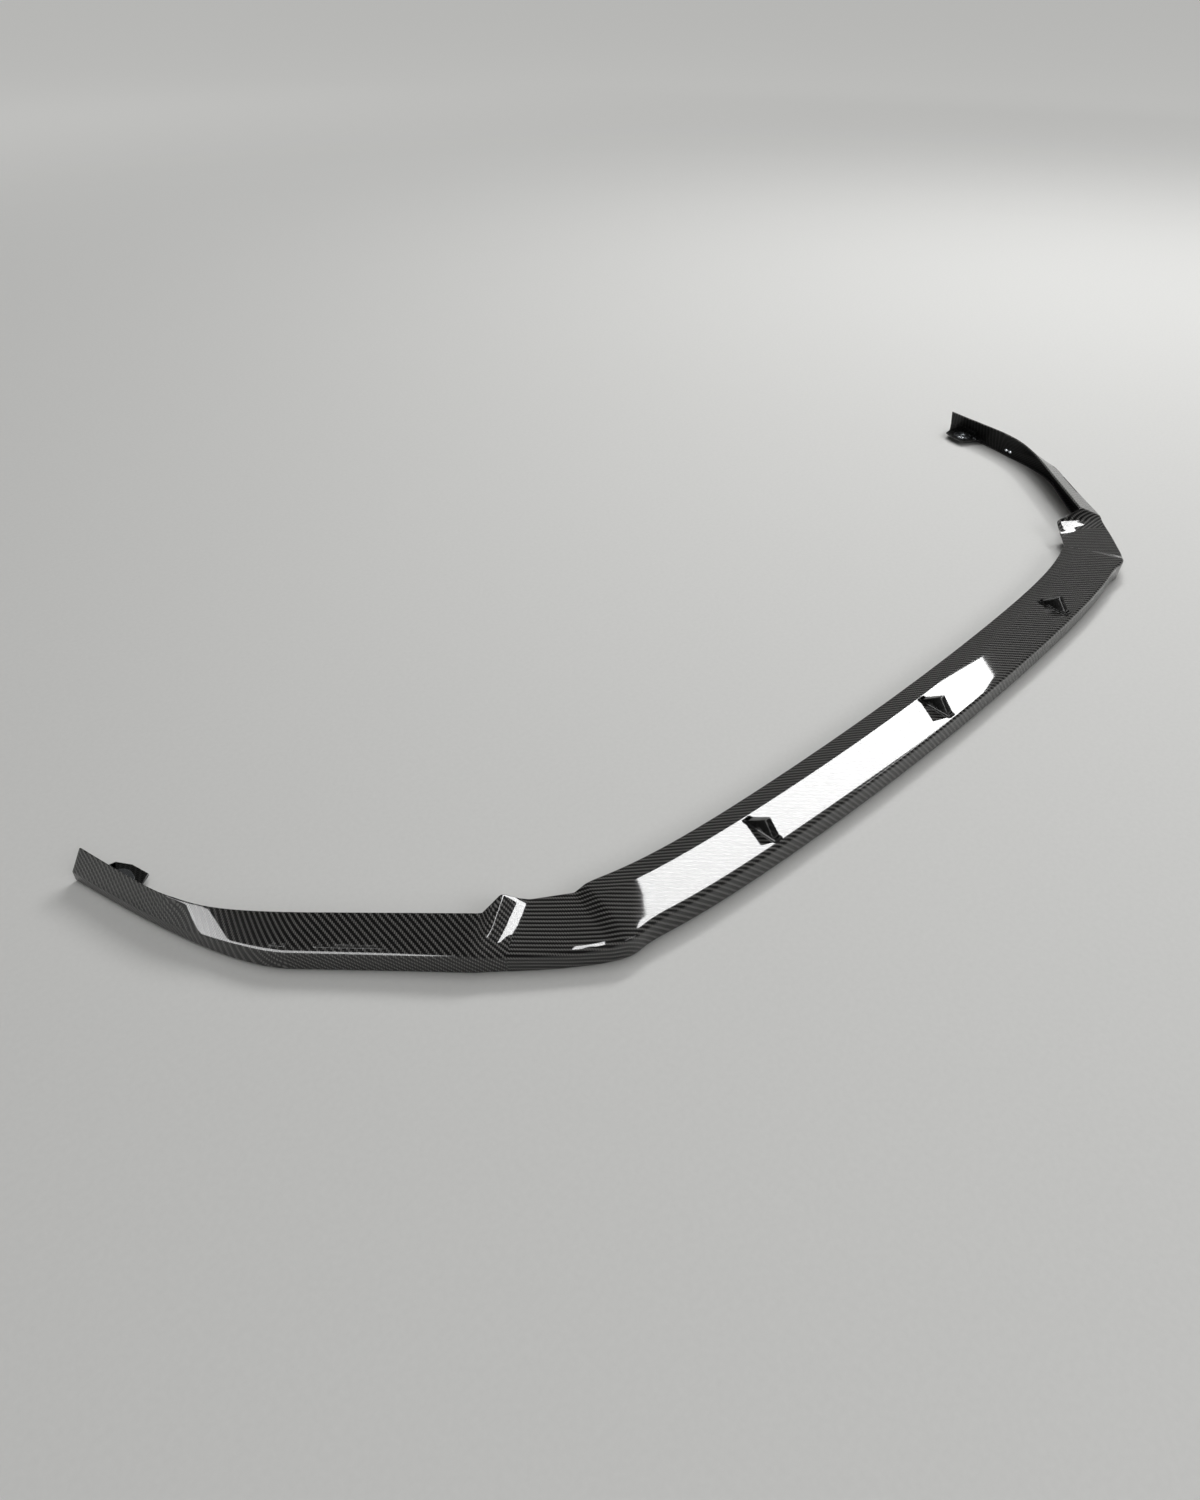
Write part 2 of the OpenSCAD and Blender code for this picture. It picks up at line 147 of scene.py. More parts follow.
def sweep_faces(rows: int, columns: int) -> Array:
    """Faces of a grid of points that is numbered row by row, its last column joined to the first.

    Args:
        rows, columns: size of the grid.

    Returns:
        Quads (i, j), (i + 1, j), (i + 1, j + 1), (i, j + 1), as point numbers.
    """
    i = np.arange(rows - 1)[:, None]
    j = np.arange(columns)[None, :]
    k = (j + 1) % columns
    quads = np.stack([i * columns + j, (i + 1) * columns + j, (i + 1) * columns + k,
                      i * columns + k], -1)
    return quads.reshape(-1, 4)


def new_object(name: str, data: bpy.types.ID) -> bpy.types.Object:
    """An object at the origin, linked to the scene."""
    made = bpy.data.objects.new(name, data)
    bpy.context.scene.collection.objects.link(made)
    return made


def make_piece(name: str, points: Array, quads: Array, triangles: Array | None = None,
               smooth: bool = True) -> bpy.types.Object:
    """A mesh object at the origin from points in millimetres.

    Args:
        name: object name.
        points: n x 3 points in millimetres.
        quads: m x 4 point numbers, outward by the right-hand rule.
        triangles: further k x 3 point numbers.
        smooth: whether faces are shaded smooth.

    Returns:
        The new object, linked to the scene.
    """
    faces = quads.tolist() + ([] if triangles is None else triangles.tolist())
    mesh = bpy.data.meshes.new(name)
    mesh.from_pydata((points * MM).tolist(), [], faces)
    mesh.polygons.foreach_set("use_smooth", np.full(len(mesh.polygons), smooth))
    mesh.update()
    return new_object(name, mesh)


def settle(piece: bpy.types.Object, material: bpy.types.Material,
           node: str) -> bpy.types.Object:
    """Dresses a piece, lets it ride on the one body and hides the solid that it stands for.

    Args:
        piece: the finished object.
        material: its finish.
        node: name of the solid that it replaces.

    Returns:
        The same piece.
    """
    piece.data.materials.clear()
    piece.data.materials.append(material)
    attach(piece, BODY)
    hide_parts(node)
    return piece


def read(items: object, key: str, each: int, kind: type) -> Array:
    """One property of all of a mesh's items, each numbers of one kind to an item."""
    values = np.empty(len(items) * each, kind)
    items.foreach_get(key, values)
    return values


def write_cloth_map(mesh: bpy.types.Mesh, place: Array) -> None:
    """Keeps the place on the cloth, in millimetres, of every face corner."""
    layer = mesh.uv_layers.get(CLOTH) or mesh.uv_layers.new(name=CLOTH)
    layer.data.foreach_set("uv", place.astype(np.float32).reshape(-1))


def map_cloth_by_faces(piece: bpy.types.Object, turn: float = 0.0) -> None:
    """Writes a cloth map in millimetres: each face takes the two axes that it lies along.

    Args:
        piece: the object to map.
        turn: angle of the piece's own axes from the row's, in degrees.
    """
    mesh = piece.data
    own = np.eye(3)
    own[:2, :2] = turning(-turn)
    points = read(mesh.vertices, "co", 3, np.float32).reshape(-1, 3) @ own / MM
    normals = read(mesh.polygons, "normal", 3, np.float32).reshape(-1, 3) @ own
    counts = read(mesh.polygons, "loop_total", 1, np.int32)
    corners = read(mesh.loops, "vertex_index", 1, np.int32)
    facing = np.repeat(np.abs(normals).argmax(1), counts)
    axes = np.array([[1, 2], [0, 2], [0, 1]])[facing]
    write_cloth_map(mesh, np.take_along_axis(points[corners], axes, 1))


def linear(colour: str) -> tuple[float, float, float, float]:
    """An sRGB hex colour as linear red, green, blue and a full alpha."""
    srgb = np.array([int(colour[i:i + 2], 16) for i in (1, 3, 5)]) / 255
    rgb = np.where(srgb <= 0.04045, srgb / 12.92, ((srgb + 0.055) / 1.055)**2.4)
    return (*rgb.tolist(), 1.0)


def add(material: bpy.types.ID, kind: str, inputs: dict | None = None,
        **settings: object) -> bpy.types.Node:
    """Adds one shader node.

    Args:
        material: the material or world whose tree gets the node.
        kind: Blender's node type name.
        inputs: socket name or number -> value, or an output socket to link.
        settings: the node's own settings.

    Returns:
        The node.
    """
    node = material.node_tree.nodes.new(kind)
    for key, value in settings.items():
        setattr(node, key, value)
    for key, value in (inputs or {}).items():
        if isinstance(value, bpy.types.NodeSocket):
            material.node_tree.links.new(value, node.inputs[key])
        else:
            node.inputs[key].default_value = value
    return node


class Finish:
    """A real material's finish, which each kind gives as sockets of the shader."""

    def make(self, name: str) -> bpy.types.Material:
        """The finish as a node material.

        Args:
            name: material name.

        Returns:
            The material.
        """
        material = bpy.data.materials.new(name)
        material.use_nodes = True
        material.node_tree.nodes.clear()
        shader = add(material, "ShaderNodeBsdfPrincipled", self.sockets(material))
        add(material, "ShaderNodeOutputMaterial", {"Surface": shader.outputs[0]})
        return material

    def sockets(self, m: bpy.types.Material) -> dict:
        """The shader's values and links, whose nodes are added to the material."""
        raise NotImplementedError


@dataclass(frozen=True)
class TwillLaminate(Finish):
    """Carbon cloth in a 2 by 2 twill, wet out with epoxy, moulded, then clear coated and
    polished. To the eye: black, with fine grey ribs that cross the part at 45 degrees to the
    tows, under a deep wet gloss that mirrors the lamps sharply.
    """

    tow: float = 2.0  # width of a 3K tow, mm
    painted_sheen_tow: str = "#696866"  # painted sheen: tows that lie towards the eye, coloured light in place of their reflection
    tow_dark: str = "#0b0b0b"  # tows that cross them, the cloth's own black
    gap: str = "#050505"  # epoxy between the tows
    epoxy_and_shade: tuple = (0.1, 0.7)  # crown below which the epoxy's dark shows and the float's rounded sides and ends take painted shade, and above which the tow shows in full
    fade: float = 0.75  # share of the crown that is lost at a float's ends, in the relief and in the painted shade
    crown: float = 0.48  # mm: the real 0.12 is drawn four times as high to show
    relief: float = 0.6
    base_roughness: float = 0.42
    base_level: float = 0.08  # the cloth's own gloss under the coat
    coat: float = 1.0
    coat_roughness: float = 0.03
    coat_ior: float = 1.5

    def sockets(self, m: bpy.types.Material) -> dict:
        """Weave and coat, laid by the piece's cloth map.

        Args:
            m: the material.

        Returns:
            Socket name -> value or link.
        """
        place = add(m, "ShaderNodeUVMap", uv_map=CLOTH).outputs[0]
        axes = add(m, "ShaderNodeSeparateXYZ", {0: place}).outputs
        warp, crown = self._weave(m, axes[0], axes[1])
        # Darker where the crown falls: the epoxy's own dark in the gaps, and painted shade over the
        # rounded sides and ends of each float.
        epoxy_and_shade = add(m, "ShaderNodeMapRange", {0: crown, 1: self.epoxy_and_shade[0],
                                              2: self.epoxy_and_shade[1]}).outputs[0]
        # Lighter tows where the warp is on top: painted sheen in place of the fibres' reflection,
        # which depends on the way they lie.
        tows = add(m, "ShaderNodeMix", {0: warp, 6: linear(self.tow_dark),
                                        7: linear(self.painted_sheen_tow)}, data_type="RGBA").outputs[2]
        colour = add(m, "ShaderNodeMix", {0: epoxy_and_shade, 6: linear(self.gap), 7: tows},
                     data_type="RGBA").outputs[2]
        relief = add(m, "ShaderNodeBump", {"Strength": self.relief, "Distance": self.crown * MM,
                                           "Height": crown}).outputs[0]
        return {"Base Color": colour, "Roughness": self.base_roughness, "Normal": relief,
                "Specular IOR Level": self.base_level, "Coat Weight": self.coat,
                "Coat Roughness": self.coat_roughness, "Coat IOR": self.coat_ior}

    def _weave(self, m: bpy.types.Material, x: object, y: object) -> tuple:
        """Works out the weave, one sum to a node.

        With p and q the place in tows, the warp is on top where (floor p + floor q) mod 4 is
        under 2. Each visible float is two tows long. Its arches are 4 a (1 - a), with a the
        share of its length or of its width, and the crown is the arch across times
        1 - fade (1 - the arch along).

        Args:
            m: the material.
            x, y: sockets with the place on the cloth, in millimetres.

        Returns:
            Sockets with 1 where the warp is on top, and with the crown, 0 to 1.
        """
        sums = [
            ("p", "MULTIPLY", "x", 1 / self.tow), ("q", "MULTIPLY", "y", 1 / self.tow),
            ("floor p", "FLOOR", "p"), ("floor q", "FLOOR", "q"),
            ("diagonal", "ADD", "floor p", "floor q"),
            ("turn", "FLOORED_MODULO", "diagonal", 4.0), ("warp", "LESS_THAN", "turn", 2.0),
            ("run", "ADD", "q", "floor p"), ("run", "FLOORED_MODULO", "run", 4.0),
            ("warp along", "DIVIDE", "run", 2.0), ("warp across", "SUBTRACT", "p", "floor p"),
            ("run", "ADD", "p", "floor q"), ("run", "FLOORED_MODULO", "run", 4.0),
            ("run", "SUBTRACT", "run", 2.0),
            ("weft along", "DIVIDE", "run", 2.0), ("weft across", "SUBTRACT", "q", "floor q")]
        for way in ("along", "across"):
            sums += [
                ("step", "SUBTRACT", "warp " + way, "weft " + way),
                ("share", "MULTIPLY_ADD", "step", "warp", "weft " + way),
                ("four", "MULTIPLY", "share", 4.0), ("rest", "SUBTRACT", 1.0, "share"),
                ("arch " + way, "MULTIPLY", "four", "rest")]
        sums += [("kept", "MULTIPLY_ADD", "arch along", self.fade, 1 - self.fade),
                 ("crown", "MULTIPLY", "arch across", "kept")]
        found = {"x": x, "y": y}
        for name, operation, *terms in sums:
            inputs = {i: found.get(term, term) for i, term in enumerate(terms)}
            found[name] = add(m, "ShaderNodeMath", inputs, operation=operation).outputs[0]
        return found["warp"], found["crown"]


@dataclass(frozen=True)
class ZincPlatedSteel(Finish):
    """Pressed steel, bright zinc plated. To the eye: light silver with a faint cloudy spangle and
    soft highlights.
    """

    colour: str = "#c3c6ca"
    shade: str = "#a7abb0"
    roughness: float = 0.24
    spangle: float = 3.0  # size of a cloud in the plating, mm
    cloud_detail: float = 3.0
    cloud_roughness: float = 0.6
    relief: float = 0.25
    depth: float = 0.05  # of the relief, mm

    def sockets(self, m: bpy.types.Material) -> dict:
        """Plating with its spangle.

        Args:
            m: the material.

        Returns:
            Socket name -> value or link.
        """
        place = add(m, "ShaderNodeTexCoord").outputs["Object"]
        cloud = add(m, "ShaderNodeTexNoise", {
            "Vector": place, "Scale": 1 / (self.spangle * MM), "Detail": self.cloud_detail,
            "Roughness": self.cloud_roughness}).outputs[0]
        colour = add(m, "ShaderNodeMix", {0: cloud, 6: linear(self.shade), 7: linear(self.colour)},
                     data_type="RGBA").outputs[2]
        relief = add(m, "ShaderNodeBump", {"Strength": self.relief, "Distance": self.depth * MM,
                                           "Height": cloud}).outputs[0]
        return {"Base Color": colour, "Metallic": 1.0, "Roughness": self.roughness,
                "Normal": relief}


@dataclass(frozen=True)
class PaperSweep(Finish):
    """Pale matt studio paper. To the eye: light grey with the part's soft shadow on it. Far from
    the part a glow that only the eye and mirrors see makes up for the lamps' reach."""

    colour: str = "#dcdcda"
    fleck: str = "#d6d6d4"
    roughness: float = 0.9
    sheen: float = 0.1  # matt paper has next to none
    fibre: float = 6.0  # size of a fibre cloud, mm
    fibre_detail: float = 2.0
    pool: tuple = (0.8, 6.0)  # where the paper's own glow starts and is full, m
    far_glow: float = 0.6

    def sockets(self, m: bpy.types.Material) -> dict:
        """Paper with its fibres, and with the far glow for camera and glossy rays only.

        Args:
            m: the material.

        Returns:
            Socket name -> value or link.
        """
        place = add(m, "ShaderNodeTexCoord").outputs["Object"]
        cloud = add(m, "ShaderNodeTexNoise", {"Vector": place, "Scale": 1 / (self.fibre * MM),
                                              "Detail": self.fibre_detail}).outputs[0]
        colour = add(m, "ShaderNodeMix", {0: cloud, 6: linear(self.fleck), 7: linear(self.colour)},
                     data_type="RGBA").outputs[2]
        reach = add(m, "ShaderNodeVectorMath", {0: place}, operation="LENGTH").outputs["Value"]
        far = add(m, "ShaderNodeMapRange", {0: reach, 1: self.pool[0], 2: self.pool[1],
                                            4: self.far_glow},
                  interpolation_type="SMOOTHSTEP").outputs[0]
        path = add(m, "ShaderNodeLightPath").outputs
        seen = add(m, "ShaderNodeMath", {0: path["Is Camera Ray"], 1: path["Is Glossy Ray"]},
                   operation="MAXIMUM").outputs[0]
        glow = add(m, "ShaderNodeMath", {0: far, 1: seen}, operation="MULTIPLY").outputs[0]
        return {"Base Color": colour, "Roughness": self.roughness,
                "Specular IOR Level": self.sheen, "Emission Color": colour,
                "Emission Strength": glow}


@dataclass(frozen=True)
class BladeEdge:
    """One long edge of the blade: half width, start, bow, hook and heights."""

    half: float
    start: float
    bow: float
    hook: float
    mid_height: float
    end_height: float
    fall: int = 2

    def at(self, t: Array) -> Array:
        """Points of the edge.

        Across goes as t, rearward as start + bow t^2 + hook t^8, and the height falls from the
        middle's to the end's as t^fall.

        Args:
            t: shares of the half width.

        Returns:
            One point per share.
        """
        return np.stack([self.half * t, self.start + self.bow * t**2 + self.hook * t**8,
                         self.mid_height + (self.end_height - self.mid_height) * t**self.fall], -1)

    def heading(self) -> Array:
        """Direction at the end of the blade, for one step across the floor."""
        way = np.array([self.half, 2 * self.bow + 8 * self.hook,
                        self.fall * (self.end_height - self.mid_height)])
        return way / np.linalg.norm(way[:2])


@dataclass
class LipLines:
    """The guide lines of one half of the lip, from the middle of the blade to the arm tip.

    Points are (across, rearward, up). Rearward places are measured from the blade's crease at
    the middle; origin_back moves them to the row frame.
    """

    crease: BladeEdge = BladeEdge(532.5, 0.0, 29.5, 9.0, 38.0, 34.5)
    front: BladeEdge = BladeEdge(520.5, -56.0, 24.5, 7.5, 33.0, 32.4, 8)
    flange: BladeEdge = BladeEdge(528.0, 27.0, 24.5, 15.0, 33.0, 31.0)
    fold: tuple = (538.0, 68.0, 31.0)
    fold_front: tuple = (560.0, -21.5, 32.0)
    pad_start: tuple = (551.0, 71.5, 24.5)
    pad_front_start: tuple = (582.0, -11.0, 28.0)
    pad_front_mid: tuple = (615.5, 12.5, 26.0)
    pad_end: tuple = (594.5, 101.0, 23.5)
    pad_front_end: tuple = (664.5, 54.5, 27.0)
    peak: tuple = (611.5, 118.0, 33.5)
    facet_front: tuple = (677.0, 66.0, 27.5)
    arm_root: tuple = (653.0, 100.0, 47.5)
    arm_front: tuple = (690.0, 77.5, 28.8)
    arm_bend: tuple = (776.0, 226.5, 46.5)
    arm_front_bend: tuple = (814.0, 212.0, 28.0)
    tip: tuple = (896.5, 486.5, 43.5)
    tip_front: tuple = (911.0, 491.5, 14.0)
    tip_angle: float = 77.0  # of the arm from across, degrees
    straight_share: float = 0.378  # of the arm's rows, before its bend
    top_handles: tuple = (0.51, 0.506)
    front_handles: tuple = (0.237, 0.27)
    drop_share: float = 0.7  # of the bend, over which the front edge comes down
    crease_share: float = 0.32  # of the way from rear to front edge
    fold_rise: float = 3.0
    face_tuck: float = 3.0  # floor edge behind the front edge
    foot_width: float = 18.0
    tip_foot_width: float = 5.0
    foot_share: float = 0.55  # of the arm, over which the foot narrows
    edge_radius: float = 4.0
    arm_edge_radius: float = 10.0
    round_in: float = 0.2  # share of the arm where its edge is fully rounded
    round_out: tuple = (0.42, 0.62)  # where it starts to sharpen again, and where it is sharp
    origin_back: float = 217.931
    blade_rows: int = 72
    corner_rows: tuple = (14, 16, 14, 14, 20, 16)
    valley_span: int = 4  # the corner's first span beyond the pad
    arm_rows: int = 110
    search_steps: int = 8

    def stations(self) -> dict[str, Array]:
        """All section stations of one half.

        Returns:
            rear, crease, front: n x 3 points; tuck, foot, radius: n lengths; sheet: 0 on the
            blade and pads and 1 from the valley to the tip.
        """
        parts = [self._blade(), *map(self._corner, range(len(self.corner_rows))),
                 self._arm()]
        return {k: np.concatenate([part[k] for part in parts]) for k in parts[0]}

    def blade_height(self, x: Array, y: Array) -> Array:
        """Height of the blade's top face at places in the row frame.

        The share t whose section line passes through the place is found by stepping t with the
        place's distance from the line; the height runs straight from front edge to crease.

        Args:
            x, y: arrays of places.

        Returns:
            Heights in the same shape.
        """
        at = np.stack([np.abs(x), y + self.origin_back], -1)
        t = np.abs(x) / self.front.half
        for _ in range(self.search_steps):
            front = self.front.at(t)
            way = unit(self.flange.at(t)[..., :2] - front[..., :2])
            off = at - front[..., :2]
            t = t + (off[..., 0] * way[..., 1] - off[..., 1] * way[..., 0]) / self.front.half
        crease = self.crease.at(t)
        depth = ((crease - front)[..., :2] * way).sum(-1)
        return front[..., 2] + (crease - front)[..., 2] * (off * way).sum(-1) / depth

    def _row(self, rear: Array, crease: Array, front: Array, sheet: int,
             narrow: Array | float = 0.0, swell: Array | float = 0.0) -> dict[str, Array]:
        """One run of stations.

        Args:
            rear, crease, front: the three edges' points.
            sheet: which cloth sheet lies there.
            narrow: 0 to 1 takes the foot to its size at the arm tip.
            swell: 0 to 1 takes the front edge to its largest radius.

        Returns:
            The stations' arrays by name.
        """
        k, w = np.zeros(len(rear)) + narrow, np.zeros(len(rear)) + swell
        return {"rear": rear, "crease": crease, "front": front,
                "tuck": self.face_tuck * (1 - k),
                "foot": self.foot_width + (self.tip_foot_width - self.foot_width) * k,
                "radius": self.edge_radius + (self.arm_edge_radius - self.edge_radius) * w,
                "sheet": np.full(len(rear), sheet)}

    def _blade(self) -> dict[str, Array]:
        """Stations of the blade, middle to end."""
        t = np.arange(self.blade_rows) / self.blade_rows
        return self._row(self.flange.at(t), self.crease.at(t), self.front.at(t), 0)

    def _guides(self) -> tuple[Array, Array]:
        """Guide points of the corner's rear and front edges, blade end to arm root."""
        end = np.array(1.0)
        pad_mid = (np.array(self.pad_start) + np.array(self.pad_end)) / 2
        rear = np.array([self.flange.at(end), self.fold, self.pad_start, pad_mid, self.pad_end,
                         self.peak, self.arm_root])
        front = np.array([self.front.at(end), self.fold_front, self.pad_front_start,
                          self.pad_front_mid, self.pad_front_end, self.facet_front,
                          self.arm_front])
        return rear, front

    def _headings(self, guides: Array) -> tuple[Array, Array]:
        """Lengths and directions of the front edge's spans.

        Between two spans the direction is the mean of their slopes, each with the other's
        length as weight, but its height goes with the gentler slope, or level where the one
        rises and the other falls.

        Args:
            guides: the front edge's guide points.

        Returns:
            Length of each span on the floor, and direction at each guide point.
        """
        gap = np.linalg.norm(np.diff(guides, axis=0)[:, :2], axis=1)
        slope = np.diff(guides, axis=0) / gap[:, None]
        before, after = slope[:-1], slope[1:]
        inner = (before * gap[1:, None] + after * gap[:-1, None]) / (gap[1:] + gap[:-1])[:, None]
        gentle = np.where(np.abs(before) <= np.abs(after), before, after)[:, 2]
        inner[:, 2] = np.where(before[:, 2] * after[:, 2] > 0, gentle, 0.0)
        run = np.array(self.arm_front_bend) - np.array(self.arm_front)
        finish = run / np.linalg.norm(run[:2])
        return gap, np.concatenate([[self.front.heading()], inner, [finish]])

    def _corner(self, i: int) -> dict[str, Array]:
        """Stations of one span of the corner: the rear edge runs straight between guide points,
        and the front edge is a smooth cubic through its own.

        Args:
            i: number of the span, from the blade's end.

        Returns:
            The span's stations.
        """
        rears, fronts = self._guides()
        gap, heading = self._headings(fronts)
        t = np.arange(self.corner_rows[i]) / self.corner_rows[i]
        w = ease(t) if i == 1 else t
        rear = mix(rears[i], rears[i + 1], w)
        third = heading[i:i + 2] * gap[i] / 3
        front = bezier(fronts[i], fronts[i] + third[0], fronts[i + 1] - third[1], fronts[i + 1], t)
        crease = mix(rear, front, self.crease_share)
        if i == 0:
            fold = mix(rears[1], fronts[1], self.crease_share) + np.array([0, 0, self.fold_rise])
            crease = mix(self.crease.at(np.array(1.0)), fold, t)
        elif i == 1:
            crease[:, 2] += self.fold_rise * (1 - w)
        return self._row(rear, crease, front, int(i >= self.valley_span))

    def _arm(self) -> dict[str, Array]:
        """Stations of the arm: a straight run, then a cubic bend that arrives at tip_angle."""
        u = np.linspace(0, 1, self.arm_rows)
        v = np.clip((u - self.straight_share) / (1 - self.straight_share), 0, 1)
        rear = self._arm_line(self.arm_root, self.arm_bend, self.tip, self.top_handles, u, v)
        front = self._arm_line(self.arm_front, self.arm_front_bend, self.tip_front,
                               self.front_handles, u, v)
        drop = ease(np.minimum(1, v / self.drop_share))
        low = self.arm_front_bend[2] + (self.tip_front[2] - self.arm_front_bend[2]) * drop
        front[:, 2] = np.where(u > self.straight_share, low, front[:, 2])
        first, last = self.round_out
        swell = ease(np.minimum(1, u / self.round_in)) * (
            1 - ease(np.clip((u - first) / (last - first), 0, 1)))
        return self._row(rear, mix(rear, front, self.crease_share), front, 1,
                         ease(np.minimum(1, u / self.foot_share)), swell)

    def _arm_line(self, root: tuple, bend: tuple, tip: tuple, handles: tuple, u: Array,
                  v: Array) -> Array:
        """One long edge of the arm.

        Args:
            root, bend, tip: its start, the end of its straight run, and its end.
            handles: the bend's two handles, as shares of its chord.
            u: shares of the arm.
            v: the same rows' shares of the bend.

        Returns:
            One point per share.
        """
        a, b, c = map(np.array, (root, bend, tip))
        go = unit(np.array([b[0] - a[0], b[1] - a[1], 0]))
        arrive = np.array([*circle(np.radians(self.tip_angle)), 0])
        chord = np.linalg.norm((c - b)[:2])
        curve = bezier(b, b + go * chord * handles[0], c - arrive * chord * handles[1], c, v)
        return np.where((u < self.straight_share)[:, None], mix(a, b, u / self.straight_share),
                        curve)


@dataclass
class LipShell:
    """The moulding: a folded section carried from tip to tip, with a wall, rounded lips and the
    two cloth sheets that meet in the valley beside each corner pad."""

    finish: bpy.types.Material
    inside: bpy.types.Material
    lines: LipLines = field(default_factory=LipLines)
    wall: float = 2.5
    foot_radius: float = 3.5
    crease_reach: float = 1.4  # how far from the crease its rounding starts
    lip_reach: float = 1.1  # the same at the lips
    lip_shares: tuple = (0.3, 0.65, 1.0)
    end_softness: float = 9.0  # at the blade's end
    fold_softness: float = 0.8  # in the fold beyond it
    valley_softness: float = 9.5  # between pad and facet
    usual_softness: float = 2.0
    softness_reach: float = 14.0  # along the lip
    tip_rows: int = 4
    lip_points: int = 4  # points of each lip that take the gloss
    line_clear: float = 0.08  # share of a straight line left free at its ends
    flange_points: int = 3
    crease_steps: int = 4
    blade_points: int = 5
    edge_steps: int = 9
    face_points: int = 3
    foot_steps: int = 6

    def build(self) -> bpy.types.Object:
        """Makes the shell and its cloth map, with the gloss finish outside and round the lips and
        the bare finish inside.

        Returns:
            The finished piece.
        """
        half = self._softened(self.lines.stations())
        whole = self._mirrored(half)
        ring, unrolled = self._sections(whole)
        ring, unrolled, whole = self._rounded_tips(ring, unrolled, whole)
        points = self._in_space(ring, whole)
        rows, columns = ring.shape[:2]
        quads = np.concatenate([sweep_faces(rows, columns), self._tip_faces(rows, columns)])
        quads = quads[:, ::-1]
        piece = make_piece("lip_skin", points.reshape(-1, 3), quads)
        self._map_cloth(piece, whole, unrolled, quads)
        settle(piece, self.finish, "lip_shell")
        piece.data.materials.append(self.inside)
        column = np.sort(quads % columns, axis=1)[:, 1:3].min(1)
        back = (column >= columns // 2 + self.lip_points) & (column < columns - self.lip_points)
        piece.data.polygons.foreach_set("material_index", back.astype(np.int32))
        return piece

    def _softened(self, s: dict[str, Array]) -> dict[str, Array]:
        """Rounds the folds that cross the section.

        Each station becomes the mean of its neighbours with weights exp(-d^2 / 2 k^2), d being
        the distance along the lip and k the local softness: small in the fold beyond the
        blade's end, large before it and in the valley, and nothing at the tip, from which it
        stays at least three softnesses away.

        Args:
            s: the stations of one half.

        Returns:
            The same stations with rounded edges.
        """
        mean = (s["rear"] + s["front"]) / 2
        step = np.linalg.norm(np.diff(mean, axis=0), axis=1)
        place = np.concatenate([[0], np.cumsum(np.maximum(step, 1e-6))])
        first = self.lines.blade_rows + np.cumsum((0,) + self.lines.corner_rows)
        soft = np.full(len(place), self.usual_softness)
        for row, value in ((first[0], self.end_softness), (first[1], self.fold_softness),
                           (first[self.lines.valley_span], self.valley_softness)):
            near = np.exp(-((place - place[row]) / self.softness_reach)**2)
            soft = soft * (1 - near) + value * near
        soft = np.minimum(soft, np.maximum((place[-1] - place) / 3, 1e-3))
        far = np.concatenate([-place[:0:-1], place])
        weight = np.exp(-(place[:, None] - far)**2 / (2 * soft[:, None]**2)) * np.gradient(far)
        weight /= weight.sum(1, keepdims=True)
        return s | {k: weight @ np.concatenate([s[k][:0:-1] * MIRROR, s[k]])
                    for k in ("rear", "crease", "front")}

    @staticmethod
    def _mirrored(s: dict[str, Array]) -> dict[str, Array]:
        """Adds the other half.

        Args:
            s: the stations of one half, middle to tip.

        Returns:
            The stations of both, left tip to right tip; side is -1 or +1.
        """
        out = {}
        for key, value in s.items():
            turned = value[:0:-1]
            out[key] = np.concatenate([turned * MIRROR if value.ndim == 2 else turned, value])
        count = len(s["tuck"])
        out["side"] = np.repeat([-1, 1], [count - 1, count])
        return out

    def _sections(self, s: dict[str, Array]) -> tuple[Array, Array]:
        """The closed section of every station, in its own upright plane.

        The outer line runs rear edge, crease, front edge, floor edge, foot; the inner one lies a
        wall inside it; both lips are rounded.

        Args:
            s: the stations.

        Returns:
            ring: stations x points x 2 (inward from the front edge, up).
            unrolled: stations x points, distance along the outer line from the front edge.
        """
        flat = [s[k][:, :2] for k in ("rear", "crease", "front")]
        way = unit(flat[0] - flat[2])
        zero = np.zeros(len(way))
        r = np.stack([((flat[0] - flat[2]) * way).sum(1), s["rear"][:, 2]], -1)
        c = np.stack([((flat[1] - flat[2]) * way).sum(1), s["crease"][:, 2]], -1)
        f = np.stack([zero, s["front"][:, 2]], -1)
        g = np.stack([s["tuck"], zero], -1)
        h = np.stack([s["tuck"] + s["foot"], zero], -1)
        start = (r + unit(c - r) * self.lip_reach)[:, None]
        stop = (h + unit(g - h) * self.lip_reach)[:, None]
        crease = parabola(c + unit(r - c) * self.crease_reach, c,
                          c + unit(f - c) * self.crease_reach,
                          np.linspace(0, 1, self.crease_steps + 1))
        outer = np.concatenate([
            start, self._between(r, c, self.flange_points), crease,
            self._between(c, f, self.blade_points),
            arc_corner(c, f, g, s["radius"], self.edge_steps),
            self._between(f, g, self.face_points),
            arc_corner(f, g, h, np.full(len(h), self.foot_radius), self.foot_steps), stop], 1)
        inner = outer + side_normals(outer) * self.wall
        rear_lip = self._lip(outer[:, 0], inner[:, 0], unit(r - c))
        foot_lip = self._lip(outer[:, -1], inner[:, -1], unit(h - g))
        ring = self._closed(outer, inner, rear_lip, foot_lip)
        return ring, self._unroll(ring)

    def _between(self, a: Array, b: Array, count: int) -> Array:
        """Points inside a straight line, clear of its ends.

        Args:
            a, b: arrays of end points.
            count: number of points.

        Returns:
            Array of lines x count x 2.
        """
        t = (np.arange(count) + 1) / (count + 1)
        t = self.line_clear + (1 - 2 * self.line_clear) * t
        return a[:, None] + (b - a)[:, None] * t[None, :, None]

